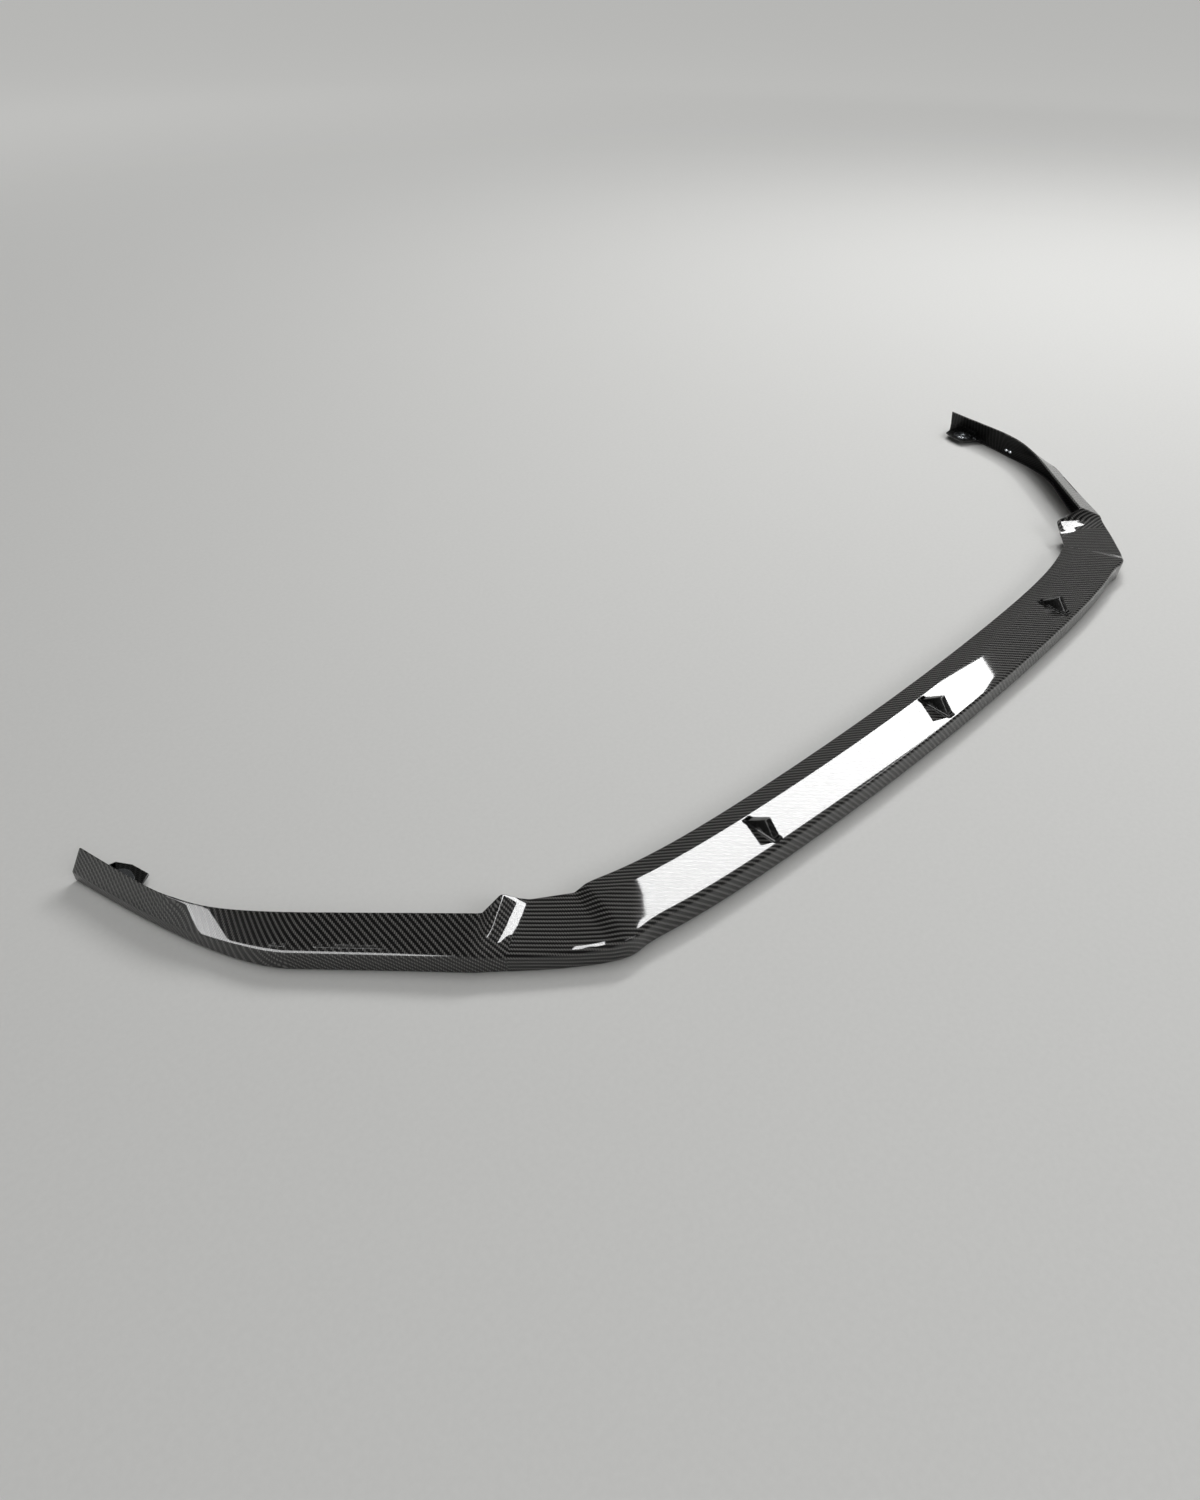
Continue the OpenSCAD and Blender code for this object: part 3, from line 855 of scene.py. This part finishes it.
    def _lip(self, outer: Array, inner: Array, out: Array) -> Array:
        """Rounded lip between the outer and inner lines: two parabolas round the corners that
        stand lip_reach beyond the lines' ends.

        Args:
            outer, inner: the lines' ends.
            out: direction in which the lip stands beyond them.

        Returns:
            The lip's points from outer to inner, both ends left out.
        """
        corner_a, corner_b = outer + out * self.lip_reach, inner + out * self.lip_reach
        over = unit(inner - outer) * self.lip_reach
        t = np.array(self.lip_shares)
        first = parabola(outer, corner_a, corner_a + over, t)
        second = parabola(inner, corner_b, corner_b - over, t)
        return np.concatenate([first, second[:, ::-1]], 1)

    def _closed(self, outer: Array, inner: Array, rear_lip: Array, foot_lip: Array) -> Array:
        """The lines and lips as one ring that starts in the middle of the rear lip and in which
        point j faces point -1 - j across the wall."""
        mid = len(self.lip_shares)
        return np.concatenate([rear_lip[:, :mid][:, ::-1], outer, foot_lip, inner[:, ::-1],
                               rear_lip[:, mid:][:, ::-1]], 1)

    def _unroll(self, ring: Array) -> Array:
        """Distance along the ring's outer half, from the middle of the front edge's arc, rearward
        positive; the inner half takes the distance of the point that it faces.

        Args:
            ring: the closed sections.

        Returns:
            Array of stations x points.
        """
        side = ring[:, :ring.shape[1] // 2]
        step = np.linalg.norm(np.diff(side, axis=1), axis=2)
        run = np.concatenate([np.zeros((len(ring), 1)), np.cumsum(step, axis=1)], 1)
        edge = (len(self.lip_shares) + 1 + self.flange_points + self.crease_steps + 1
                + self.blade_points + self.edge_steps // 2)
        run = run[:, edge:edge + 1] - run
        return np.concatenate([run, run[:, ::-1]], 1)

    def _rounded_tips(self, ring: Array, unrolled: Array, s: dict[str, Array]
                      ) -> tuple[Array, Array, dict[str, Array]]:
        """Rounds both end faces: the last station is repeated, drawn in by r (1 - cos a) along
        the section's normals and set back along the arm by r (1 - sin a).

        Args:
            ring, unrolled: the sections and their distances.
            s: the stations.

        Returns:
            All three with the added rows, and with each station's set-back as s["back"].
        """
        normal = -side_normals(ring, True)
        angle = np.linspace(0, np.pi / 2, self.tip_rows)
        end = len(ring) - 1
        rows = np.concatenate([np.zeros(self.tip_rows, int), np.arange(1, end),
                               np.full(self.tip_rows, end)])
        middle = np.zeros(end - 1)
        draw, back = (np.concatenate([bend[::-1], middle, bend]) * self.lip_reach
                      for bend in (1 - np.cos(angle), 1 - np.sin(angle)))
        out = {k: v[rows] for k, v in s.items()} | {"back": back}
        return ring[rows] - normal[rows] * draw[:, None, None], unrolled[rows], out

    def _in_space(self, ring: Array, s: dict[str, Array]) -> Array:
        """Section points in the row frame: front edge + way x inward, and up; the end stations
        are moved back along the arm.

        Args:
            ring: the closed sections.
            s: the stations.

        Returns:
            Array of stations x points x 3.
        """
        way = unit(s["rear"][:, :2] - s["front"][:, :2])
        flat = s["front"][:, None, :2] + way[:, None] * ring[..., :1]
        along = circle(np.radians(self.lines.tip_angle)) * np.stack(
            [s["side"], np.ones(len(ring))], -1)
        flat = flat - (along * s["back"][:, None])[:, None]
        points = np.concatenate([flat, ring[..., 1:]], -1)
        points[..., 1] -= self.lines.origin_back
        return points

    @staticmethod
    def _tip_faces(rows: int, columns: int) -> Array:
        """Quads that close both ends across the wall: points j, j + 1 and those they face."""
        j = np.arange(columns // 2 - 1)
        k = columns - 1 - j
        first = np.stack([j, j + 1, k - 1, k], -1)
        return np.concatenate([first, first[:, ::-1] + (rows - 1) * columns])

    @staticmethod
    def _map_cloth(piece: bpy.types.Object, s: dict[str, Array], unrolled: Array,
                   quads: Array) -> None:
        """Writes the cloth map, in millimetres on the cloth.

        On the blade and pads the cloth is one level sheet: place = front edge + way x unrolled
        distance, so its tows keep to the car's axes and it folds over the front edge. From the
        valley on, a second sheet follows the arm: its place is the length run along the front
        edge, plus the unrolled distance times the parts of way along and across that edge.

        Args:
            piece: the moulding.
            s: the stations.
            unrolled: distance of each point along its section.
            quads: the piece's faces, the tips' last.
        """
        way = unit(s["rear"][:, :2] - s["front"][:, :2])
        level = s["front"][:, None, :2] + way[:, None] * unrolled[..., None]
        step = np.linalg.norm(np.diff(s["front"][:, :2], axis=0), axis=1)
        run = np.concatenate([[0], np.cumsum(step)])
        run = run - run[len(run) // 2]
        heading = unit(np.gradient(s["front"][:, :2], axis=0))
        ahead = (way * heading).sum(1)
        beside = way[:, 1] * heading[:, 0] - way[:, 0] * heading[:, 1]
        along = np.stack([run[:, None] + unrolled * ahead[:, None],
                          unrolled * beside[:, None]], -1)
        rows, columns = unrolled.shape
        face_row = quads.min(1) // columns
        face_row[-(columns // 2 - 1):] = rows - 2
        arm = (s["sheet"][:-1] + s["sheet"][1:] == 2)[np.minimum(face_row, rows - 2)]
        corner = quads.reshape(-1)
        write_cloth_map(piece.data, np.where(
            np.repeat(arm, 4)[:, None], along.reshape(-1, 2)[corner], level.reshape(-1, 2)[corner]))


@dataclass
class Fin:
    """A small upright fin bonded to the blade: a wedge with rounded edges and a resin bead."""

    finish: bpy.types.Material
    node: str
    across: float
    lines: LipLines = field(default_factory=LipLines)
    width: float = 10.6
    peak_width: float = 8.6
    setback: float = 4.0  # of the rear foot from the crease, then of peak and front foot
    peak_reach: float = 32.0
    reach: float = 49.0
    height: float = 20.0
    nose: float = 2.0  # radius over the peak
    edge: float = 0.9  # radius of the side edges
    bond: float = 0.2  # glue under it
    bead: float = 2.4
    bead_root: float = 0.6  # how far the bead goes into the fin
    bead_lift: float = 0.03  # keeps it clear of the blade's face
    base_corner: float = 1.0
    nose_steps: int = 8
    slope_rows: int = 4
    edge_steps: int = 4
    corner_points: int = 4
    bead_steps: int = 4

    def build(self) -> bpy.types.Object:
        """Makes the wedge and its bead as one piece.

        Returns:
            The finished piece.
        """
        points, quads, triangles = self._wedge(*self._outline())
        bead, bead_quads = self._bead()
        quads = np.concatenate([quads, bead_quads + len(points)])
        points = np.concatenate([points, bead])
        piece = make_piece(self.node + "_skin", points, quads, triangles)
        map_cloth_by_faces(piece)
        return settle(piece, self.finish, self.node)

    def _crease(self) -> float:
        """Rearward place of the crease at this fin."""
        t = np.array(abs(self.across) / self.lines.crease.half)
        return self.lines.crease.at(t)[1] - self.lines.origin_back

    def _outline(self) -> tuple[Array, Array]:
        """The fin's side outline.

        Returns:
            Points from rear foot over the peak to front foot (rearward, up), and the width at
            each of them.
        """
        y0 = self._crease()
        rear, peak, foot = y0 - self.setback, y0 - self.peak_reach, y0 - self.reach
        base = self.lines.blade_height(np.full(3, self.across), np.array([rear, peak, foot]))
        corner = arc_corner(np.array([[rear, base[1]]]), np.array([[peak, base[1] + self.height]]),
                            np.array([[foot, base[1]]]), np.array([self.nose]),
                            self.nose_steps)[0]
        ends = np.array([[rear, base[0] + self.bond], [foot, base[2] + self.bond]])
        rise = np.linspace(0, 1, self.slope_rows + 1)[:-1]
        outline = np.concatenate([mix(ends[0], corner[0], rise), corner,
                                  mix(ends[1], corner[-1], rise)[::-1]])
        share = (outline[:, 1] - base[1]) / self.height
        return outline, self.width + (self.peak_width - self.width) * np.clip(share, 0, 1)

    def _wedge(self, outline: Array, width: Array) -> tuple[Array, Array, Array]:
        """The outline carried across the width.

        At each side the outline draws in by edge (1 - sin a) while it moves out by
        edge (1 - cos a), so both side edges are quarter rounds.

        Args:
            outline, width: as the side outline gives them.

        Returns:
            Points, quads and the triangles of the two sides.
        """
        inward = side_normals(outline[None])[0]
        inward[0], inward[-1] = (0, 0), (0, 0)
        angle = np.linspace(0, np.pi / 2, self.edge_steps + 1)
        draw, inset = (np.concatenate([bend, bend[::-1]]) * self.edge
                       for bend in (1 - np.sin(angle), 1 - np.cos(angle)))
        side = np.repeat([-1.0, 1.0], len(angle))
        x = self.across + side[:, None] * (width[None] / 2 - inset[:, None])
        flat = outline[None] + inward[None] * draw[:, None, None]
        points = np.concatenate([x[..., None], flat], -1)
        rows, columns = points.shape[:2]
        quads = sweep_faces(rows, columns)[:, ::-1]
        fan = np.stack([np.zeros(columns - 2, int), np.arange(1, columns - 1),
                        np.arange(2, columns)], -1)
        triangles = np.concatenate([fan[:, ::-1], fan + (rows - 1) * columns])
        return points.reshape(-1, 3), quads, triangles

    def _bead(self) -> tuple[Array, Array]:
        """Resin bead: a hollow quarter round, from bead outside the base to bead up the side,
        closed inside the fin and carried round the base.

        Returns:
            Points and quads.
        """
        y0 = self._crease()
        r = self.base_corner
        half, rear, front = self.width / 2 - r, y0 - self.setback - r, y0 - self.reach + r
        centres = np.array([[half, rear], [-half, rear], [-half, front], [half, front]])
        out = circle((np.arange(4)[:, None] * np.pi / 2
                      + np.linspace(0, np.pi / 2, self.corner_points)).reshape(-1))
        path = np.repeat(centres, self.corner_points, 0) + out * r
        a = np.linspace(0, np.pi / 2, self.bead_steps + 1)
        wide = np.append(self.bead * (1 - np.sin(a)), (-self.bead_root, -self.bead_root))
        high = np.append(self.bead * (1 - np.cos(a)), (self.bead, 0)) + self.bead_lift
        place = path[:, None] + out[:, None] * wide[None, :, None]
        place[..., 0] += self.across
        level = self.lines.blade_height(place[..., 0], place[..., 1])
        points = np.concatenate([place, (level + high[None])[..., None]], -1)
        rows, columns = points.shape[:2]
        quads = sweep_faces(rows + 1, columns) % (rows * columns)
        return points.reshape(-1, 3), quads


class Side(Enum):
    """Which arm, as the sign of its place across."""

    LEFT = -1
    RIGHT = 1


@dataclass
class EndBracket:
    """Drilled bracket bonded inside an arm end: a level plate with a short bent leg, its edges
    broken by a small round, and an oval pressed eyelet in its hole."""

    laminate: bpy.types.Material
    steel: bpy.types.Material
    side: Side
    low: tuple = (898.63, 224.479)  # place of the bracket's own origin
    yaw: float = 77.0842  # and the turn of its axes, degrees
    break_edge: float = 0.5
    break_segments: int = 2
    break_angle: float = 35.0  # edges sharper than this are broken, degrees
    flat_angle: float = 0.5  # faces that meet at less than this are made one, degrees
    merge: float = 0.01
    hole: tuple = (-1.0, 20.5)  # along the arm and inboard
    bore: float = 5.5
    collar: float = 6.7
    collar_clear: float = 0.05
    eyelet_length: float = 34.0
    eyelet_width: float = 28.0
    eyelet_turn: float = 20.0
    side_slope: float = 6.0  # how soon the oval's straight sides set in
    plate_low: float = 8.0
    steps: int = 72
    # (share of the way from the bore to the oval's edge, height) up the bore, over the rolled
    # rim and the dished flange, round the outer lip and back underneath
    section: tuple = (
        (0.0, 8.05), (0.0, 9.6), (0.0, 11.0), (0.02, 11.35), (0.06, 11.6), (0.12, 11.7),
        (0.19, 11.64), (0.27, 11.42), (0.4, 11.25), (0.6, 11.2), (0.74, 11.3), (0.84, 11.55),
        (0.91, 11.68), (0.96, 11.6), (0.99, 11.35), (1.0, 11.05), (0.99, 10.7), (0.96, 10.52),
        (0.6, 10.52))

    def build(self) -> list[bpy.types.Object]:
        """Makes the bracket and its eyelet."""
        return [self._plate(), self._eyelet()]

    def _plate(self) -> bpy.types.Object:
        """A merged copy of the solid with its edges rounded by a bevel.

        Returns:
            The finished piece.
        """
        node = "bracket_" + self.side.name.lower()
        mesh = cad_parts[node].data.copy()
        piece = new_object(node + "_skin", mesh)
        body = bmesh.new()
        body.from_mesh(mesh)
        bmesh.ops.remove_doubles(body, verts=body.verts, dist=self.merge * MM)
        bmesh.ops.dissolve_limit(body, angle_limit=np.radians(self.flat_angle), verts=body.verts,
                                 edges=body.edges)
        body.to_mesh(mesh)
        body.free()
        mesh.polygons.foreach_set("use_smooth", np.full(len(mesh.polygons), False))
        bevel = piece.modifiers.new("broken_edges", "BEVEL")
        bevel.width = self.break_edge * MM
        bevel.segments = self.break_segments
        bevel.limit_method = "ANGLE"
        bevel.angle_limit = np.radians(self.break_angle)
        map_cloth_by_faces(piece, self.yaw if self.side is Side.RIGHT else 180 - self.yaw)
        return settle(piece, self.laminate, node)

    def _eyelet(self) -> bpy.types.Object:
        """Pressed eyelet: a point is circle + share (oval - circle) at its own height, for every
        angle at once, and the collar closes it inside the plate.

        Returns:
            The finished piece.
        """
        share, height = np.array(self.section).T
        ray = circle(np.linspace(0, 2 * np.pi, self.steps + 1)[:-1])
        oval = ray * self.eyelet_width / 2
        straight = (self.eyelet_length - self.eyelet_width) / 2
        oval[:, 0] += straight * np.clip(ray[:, 0] * self.side_slope, -1, 1)
        spin = turning(self.eyelet_turn)
        ray, oval = ray @ spin, oval @ spin
        flat = ray[:, None] * self.bore + (oval - ray * self.bore)[:, None] * share[None, :, None]
        collar = ray[:, None] * self.collar
        flat = np.concatenate([flat, collar, collar], 1) + np.array(self.hole)
        height = np.concatenate([height, [height[-1], self.plate_low + self.collar_clear]])
        place = np.array(self.low) + flat @ turning(self.yaw)
        points = np.concatenate([place, np.broadcast_to(height[None, :, None],
                                                        (*place.shape[:2], 1))], -1)
        points[..., 0] *= self.side.value
        rows, columns = points.shape[:2]
        quads = sweep_faces(rows + 1, columns) % (rows * columns)
        quads = quads if self.side is Side.LEFT else quads[:, ::-1]
        node = "eyelet_" + self.side.name.lower()
        piece = make_piece(node + "_skin", points.reshape(-1, 3), quads)
        return settle(piece, self.steel, node)


@dataclass
class SmallHardware:
    """Rivets and liner studs: their solids have the right shape and take the steel."""

    steel: bpy.types.Material
    nodes: tuple = ("bracket_rivets", "liner_studs")

    def dress(self) -> list[bpy.types.Object]:
        """Puts the steel in each solid's material slots.

        Returns:
            The solids.
        """
        solids = [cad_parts[name] for name in self.nodes]
        for solid in solids:
            for slot in solid.material_slots:
                slot.material = self.steel
        return solids


class LampUse(Enum):
    """What a lamp does, as (lights matt surfaces, shows in gloss)."""

    BOTH = (True, True)
    SHOWS = (False, True)
    LIGHTS = (True, False)


@dataclass(frozen=True)
class Softbox:
    """A rectangular softbox that faces the part; angles in degrees."""

    name: str
    turn: float  # of its direction from across
    rise: float  # of its direction from level
    reach: float  # distance from the aim point
    size: tuple  # long and short side
    shift: tuple = (0, 0)  # move along its own long and short side
    roll: float = 0  # turn of the long side from level
    glow: float = 1  # brightness of its face, where 1 is white
    use: LampUse = LampUse.BOTH


@dataclass
class Studio:
    """Camera at the photograph's place, pale paper, a long softbox whose mirror image fills the
    blade, and even light from all round."""

    camera_place: tuple = (-1118.9, -752.23, 863.2)
    pitch: float = 37.958  # degrees down
    azimuth: float = 45.04  # degrees that it looks to the right of straight rearward
    focal_pixels: float = 1103.6
    picture_height: int = 1500
    sensor: float = 36.0
    clip: tuple = (0.01, 200)  # nearest and farthest that the camera sees, m
    floor_radius: float = 30000.0
    floor_sides: int = 96
    floor_gap: float = 0.05  # keeps the paper clear of the foot
    sky_low: str = "#8d8d8c"
    sky_high: str = "#494948"
    sky_band: tuple = (0.03, 0.25)  # rise over which low turns into high
    sky_strength: float = 1.0
    backdrop: str = "#c6c6c4"
    aim: tuple = (-200.0, -230.0, 35.0)
    lamps: tuple = (
        Softbox("strip_softbox", 27, 42.5, 4000, (2130, 550), (20, 155), 40, 17),
        Softbox("edge_softbox", 27, 42.5, 4000, (300, 1570), (-1040, 1215), 40, 15),
        Softbox("corner_softbox", 27, 42.5, 4000, (180, 230), (1745, -135), 40, 14.5),
        Softbox("side_softbox", 184, 11, 4000, (3600, 1540), (-200, -10), 0, 8.5, LampUse.SHOWS),
        Softbox("fill_softbox", -95, 38, 4500, (3000, 1800), glow=3),
        Softbox("top_softbox", 90, 84, 4500, (3000, 3000), glow=2, use=LampUse.LIGHTS))

    def build(self) -> None:
        """Makes camera, floor, world and lamps."""
        self._camera()
        self._floor()
        self._sky()
        for box in self.lamps:
            self._lamp(box)
        bpy.context.scene.view_settings.view_transform = "Standard"

    def _camera(self) -> None:
        """Camera with the photograph's place, direction and angle of view."""
        data = bpy.data.cameras.new("camera")
        data.sensor_fit = "VERTICAL"
        data.sensor_height = self.sensor
        data.lens = self.sensor * self.focal_pixels / self.picture_height
        data.clip_start, data.clip_end = self.clip
        eye = new_object("camera", data)
        pitch, turn = np.radians(self.pitch), np.radians(self.azimuth)
        look = Vector((np.cos(pitch) * np.sin(turn), np.cos(pitch) * np.cos(turn),
                       -np.sin(pitch)))
        eye.matrix_world = self._facing(Vector(self.camera_place) * MM, look)
        bpy.context.scene.camera = eye

    @staticmethod
    def _facing(place: Vector, look: Vector) -> Matrix:
        """Pose of a camera or lamp, with its top upwards.

        Args:
            place: where it stands.
            look: direction in which it looks.

        Returns:
            The pose.
        """
        back = -look.normalized()
        right = Vector((0, 0, 1)).cross(back).normalized()
        pose = Matrix((right, back.cross(right), back)).transposed().to_4x4()
        pose.translation = place
        return pose

    def _floor(self) -> None:
        """Round sheet of paper just under the part."""
        count = self.floor_sides
        rim = circle(np.linspace(0, 2 * np.pi, count + 1)[:-1]) * self.floor_radius
        flat = np.concatenate([[[0.0, 0.0]], rim])
        points = np.column_stack([flat, np.full(count + 1, -self.floor_gap)])
        j = np.arange(count)
        fan = np.stack([np.zeros(count, int), 1 + j, 1 + (j + 1) % count], -1)
        paper = make_piece("studio_paper", points, np.zeros((0, 4), int), fan, smooth=False)
        paper.data.materials.append(PaperSweep().make("studio_paper"))

    def _sky(self) -> None:
        """Dim even light from all round, a little lighter towards the floor; the camera sees a
        pale backdrop in its place.

        The share of the darker colour goes with the sine of the direction's rise.
        """
        world = bpy.data.worlds.new("studio")
        world.use_nodes = True
        glow = world.node_tree.nodes["Background"]
        way = add(world, "ShaderNodeTexCoord").outputs["Generated"]
        rise = add(world, "ShaderNodeSeparateXYZ", {0: way}).outputs[2]
        share = add(world, "ShaderNodeMapRange", {0: rise, 1: self.sky_band[0],
                                                  2: self.sky_band[1]}).outputs[0]
        colour = add(world, "ShaderNodeMix", {0: share, 6: linear(self.sky_low),
                                              7: linear(self.sky_high)},
                     data_type="RGBA").outputs[2]
        seen = add(world, "ShaderNodeLightPath").outputs["Is Camera Ray"]
        colour = add(world, "ShaderNodeMix", {0: seen, 6: colour, 7: linear(self.backdrop)},
                     data_type="RGBA").outputs[2]
        world.node_tree.links.new(colour, glow.inputs["Color"])
        glow.inputs["Strength"].default_value = self.sky_strength
        bpy.context.scene.world = world

    def _lamp(self, box: Softbox) -> None:
        """Puts up one softbox, which the camera doesn't see.

        Args:
            box: what it is and where it stands.
        """
        data = bpy.data.lights.new(box.name, "AREA")
        data.shape = "RECTANGLE"
        data.size, data.size_y = box.size[0] * MM, box.size[1] * MM
        data.energy = box.glow * np.pi * data.size * data.size_y
        lamp = new_object(box.name, data)
        turn, rise = np.radians((box.turn, box.rise))
        way = Vector((np.cos(rise) * np.cos(turn), np.cos(rise) * np.sin(turn), np.sin(rise)))
        pose = self._facing(Vector((0, 0, 0)), -way)
        level, upright = pose.col[0].xyz, pose.col[1].xyz
        angle = np.radians(box.roll)
        long_way = level * np.cos(angle) + upright * np.sin(angle)
        short_way = upright * np.cos(angle) - level * np.sin(angle)
        place = (Vector(self.aim) + way * box.reach + long_way * box.shift[0]
                 + short_way * box.shift[1])
        pose = Matrix((long_way, short_way, way)).transposed().to_4x4()
        pose.translation = place * MM
        lamp.matrix_world = pose
        lamp.visible_camera = False
        lamp.visible_diffuse, lamp.visible_glossy = box.use.value


def report(name: str, piece: bpy.types.Object) -> None:
    """Logs a piece with its face count."""
    LOG.info("%s: %s, %d faces", name, piece.name, len(piece.data.polygons))


def main() -> None:
    """Builds the studio and the part, piece by piece."""
    logging.basicConfig(level=logging.INFO, format="%(name)s %(message)s")
    Studio().build()
    gloss = TwillLaminate().make("twill_laminate_gloss")
    # Bare inside: rougher and nearly without coat, with a dimmer painted sheen on its lighter tows.
    bare = TwillLaminate(painted_sheen_tow="#252524", tow_dark="#0c0c0c", base_roughness=0.5,
                         coat=0.15).make("twill_laminate_bare")
    # Same laminate with its painted sheen dimmed, so the fins and end brackets read darker.
    black = TwillLaminate(painted_sheen_tow="#1e1e1d", tow_dark="#0c0c0c").make(
        "twill_laminate_dim_sheen")
    steel = ZincPlatedSteel().make("zinc_plated_steel")
    report("moulding", LipShell(gloss, bare).build())
    for name, step in (("left", -1), ("centre", 0), ("right", 1)):
        report("fin", Fin(black, "fin_" + name, step * FIN_SPACING).build())
    for side in Side:
        for piece in EndBracket(black, steel, side).build():
            report("end bracket", piece)
    for piece in SmallHardware(steel).dress():
        report("hardware", piece)


if __name__ == "__main__":
    main()
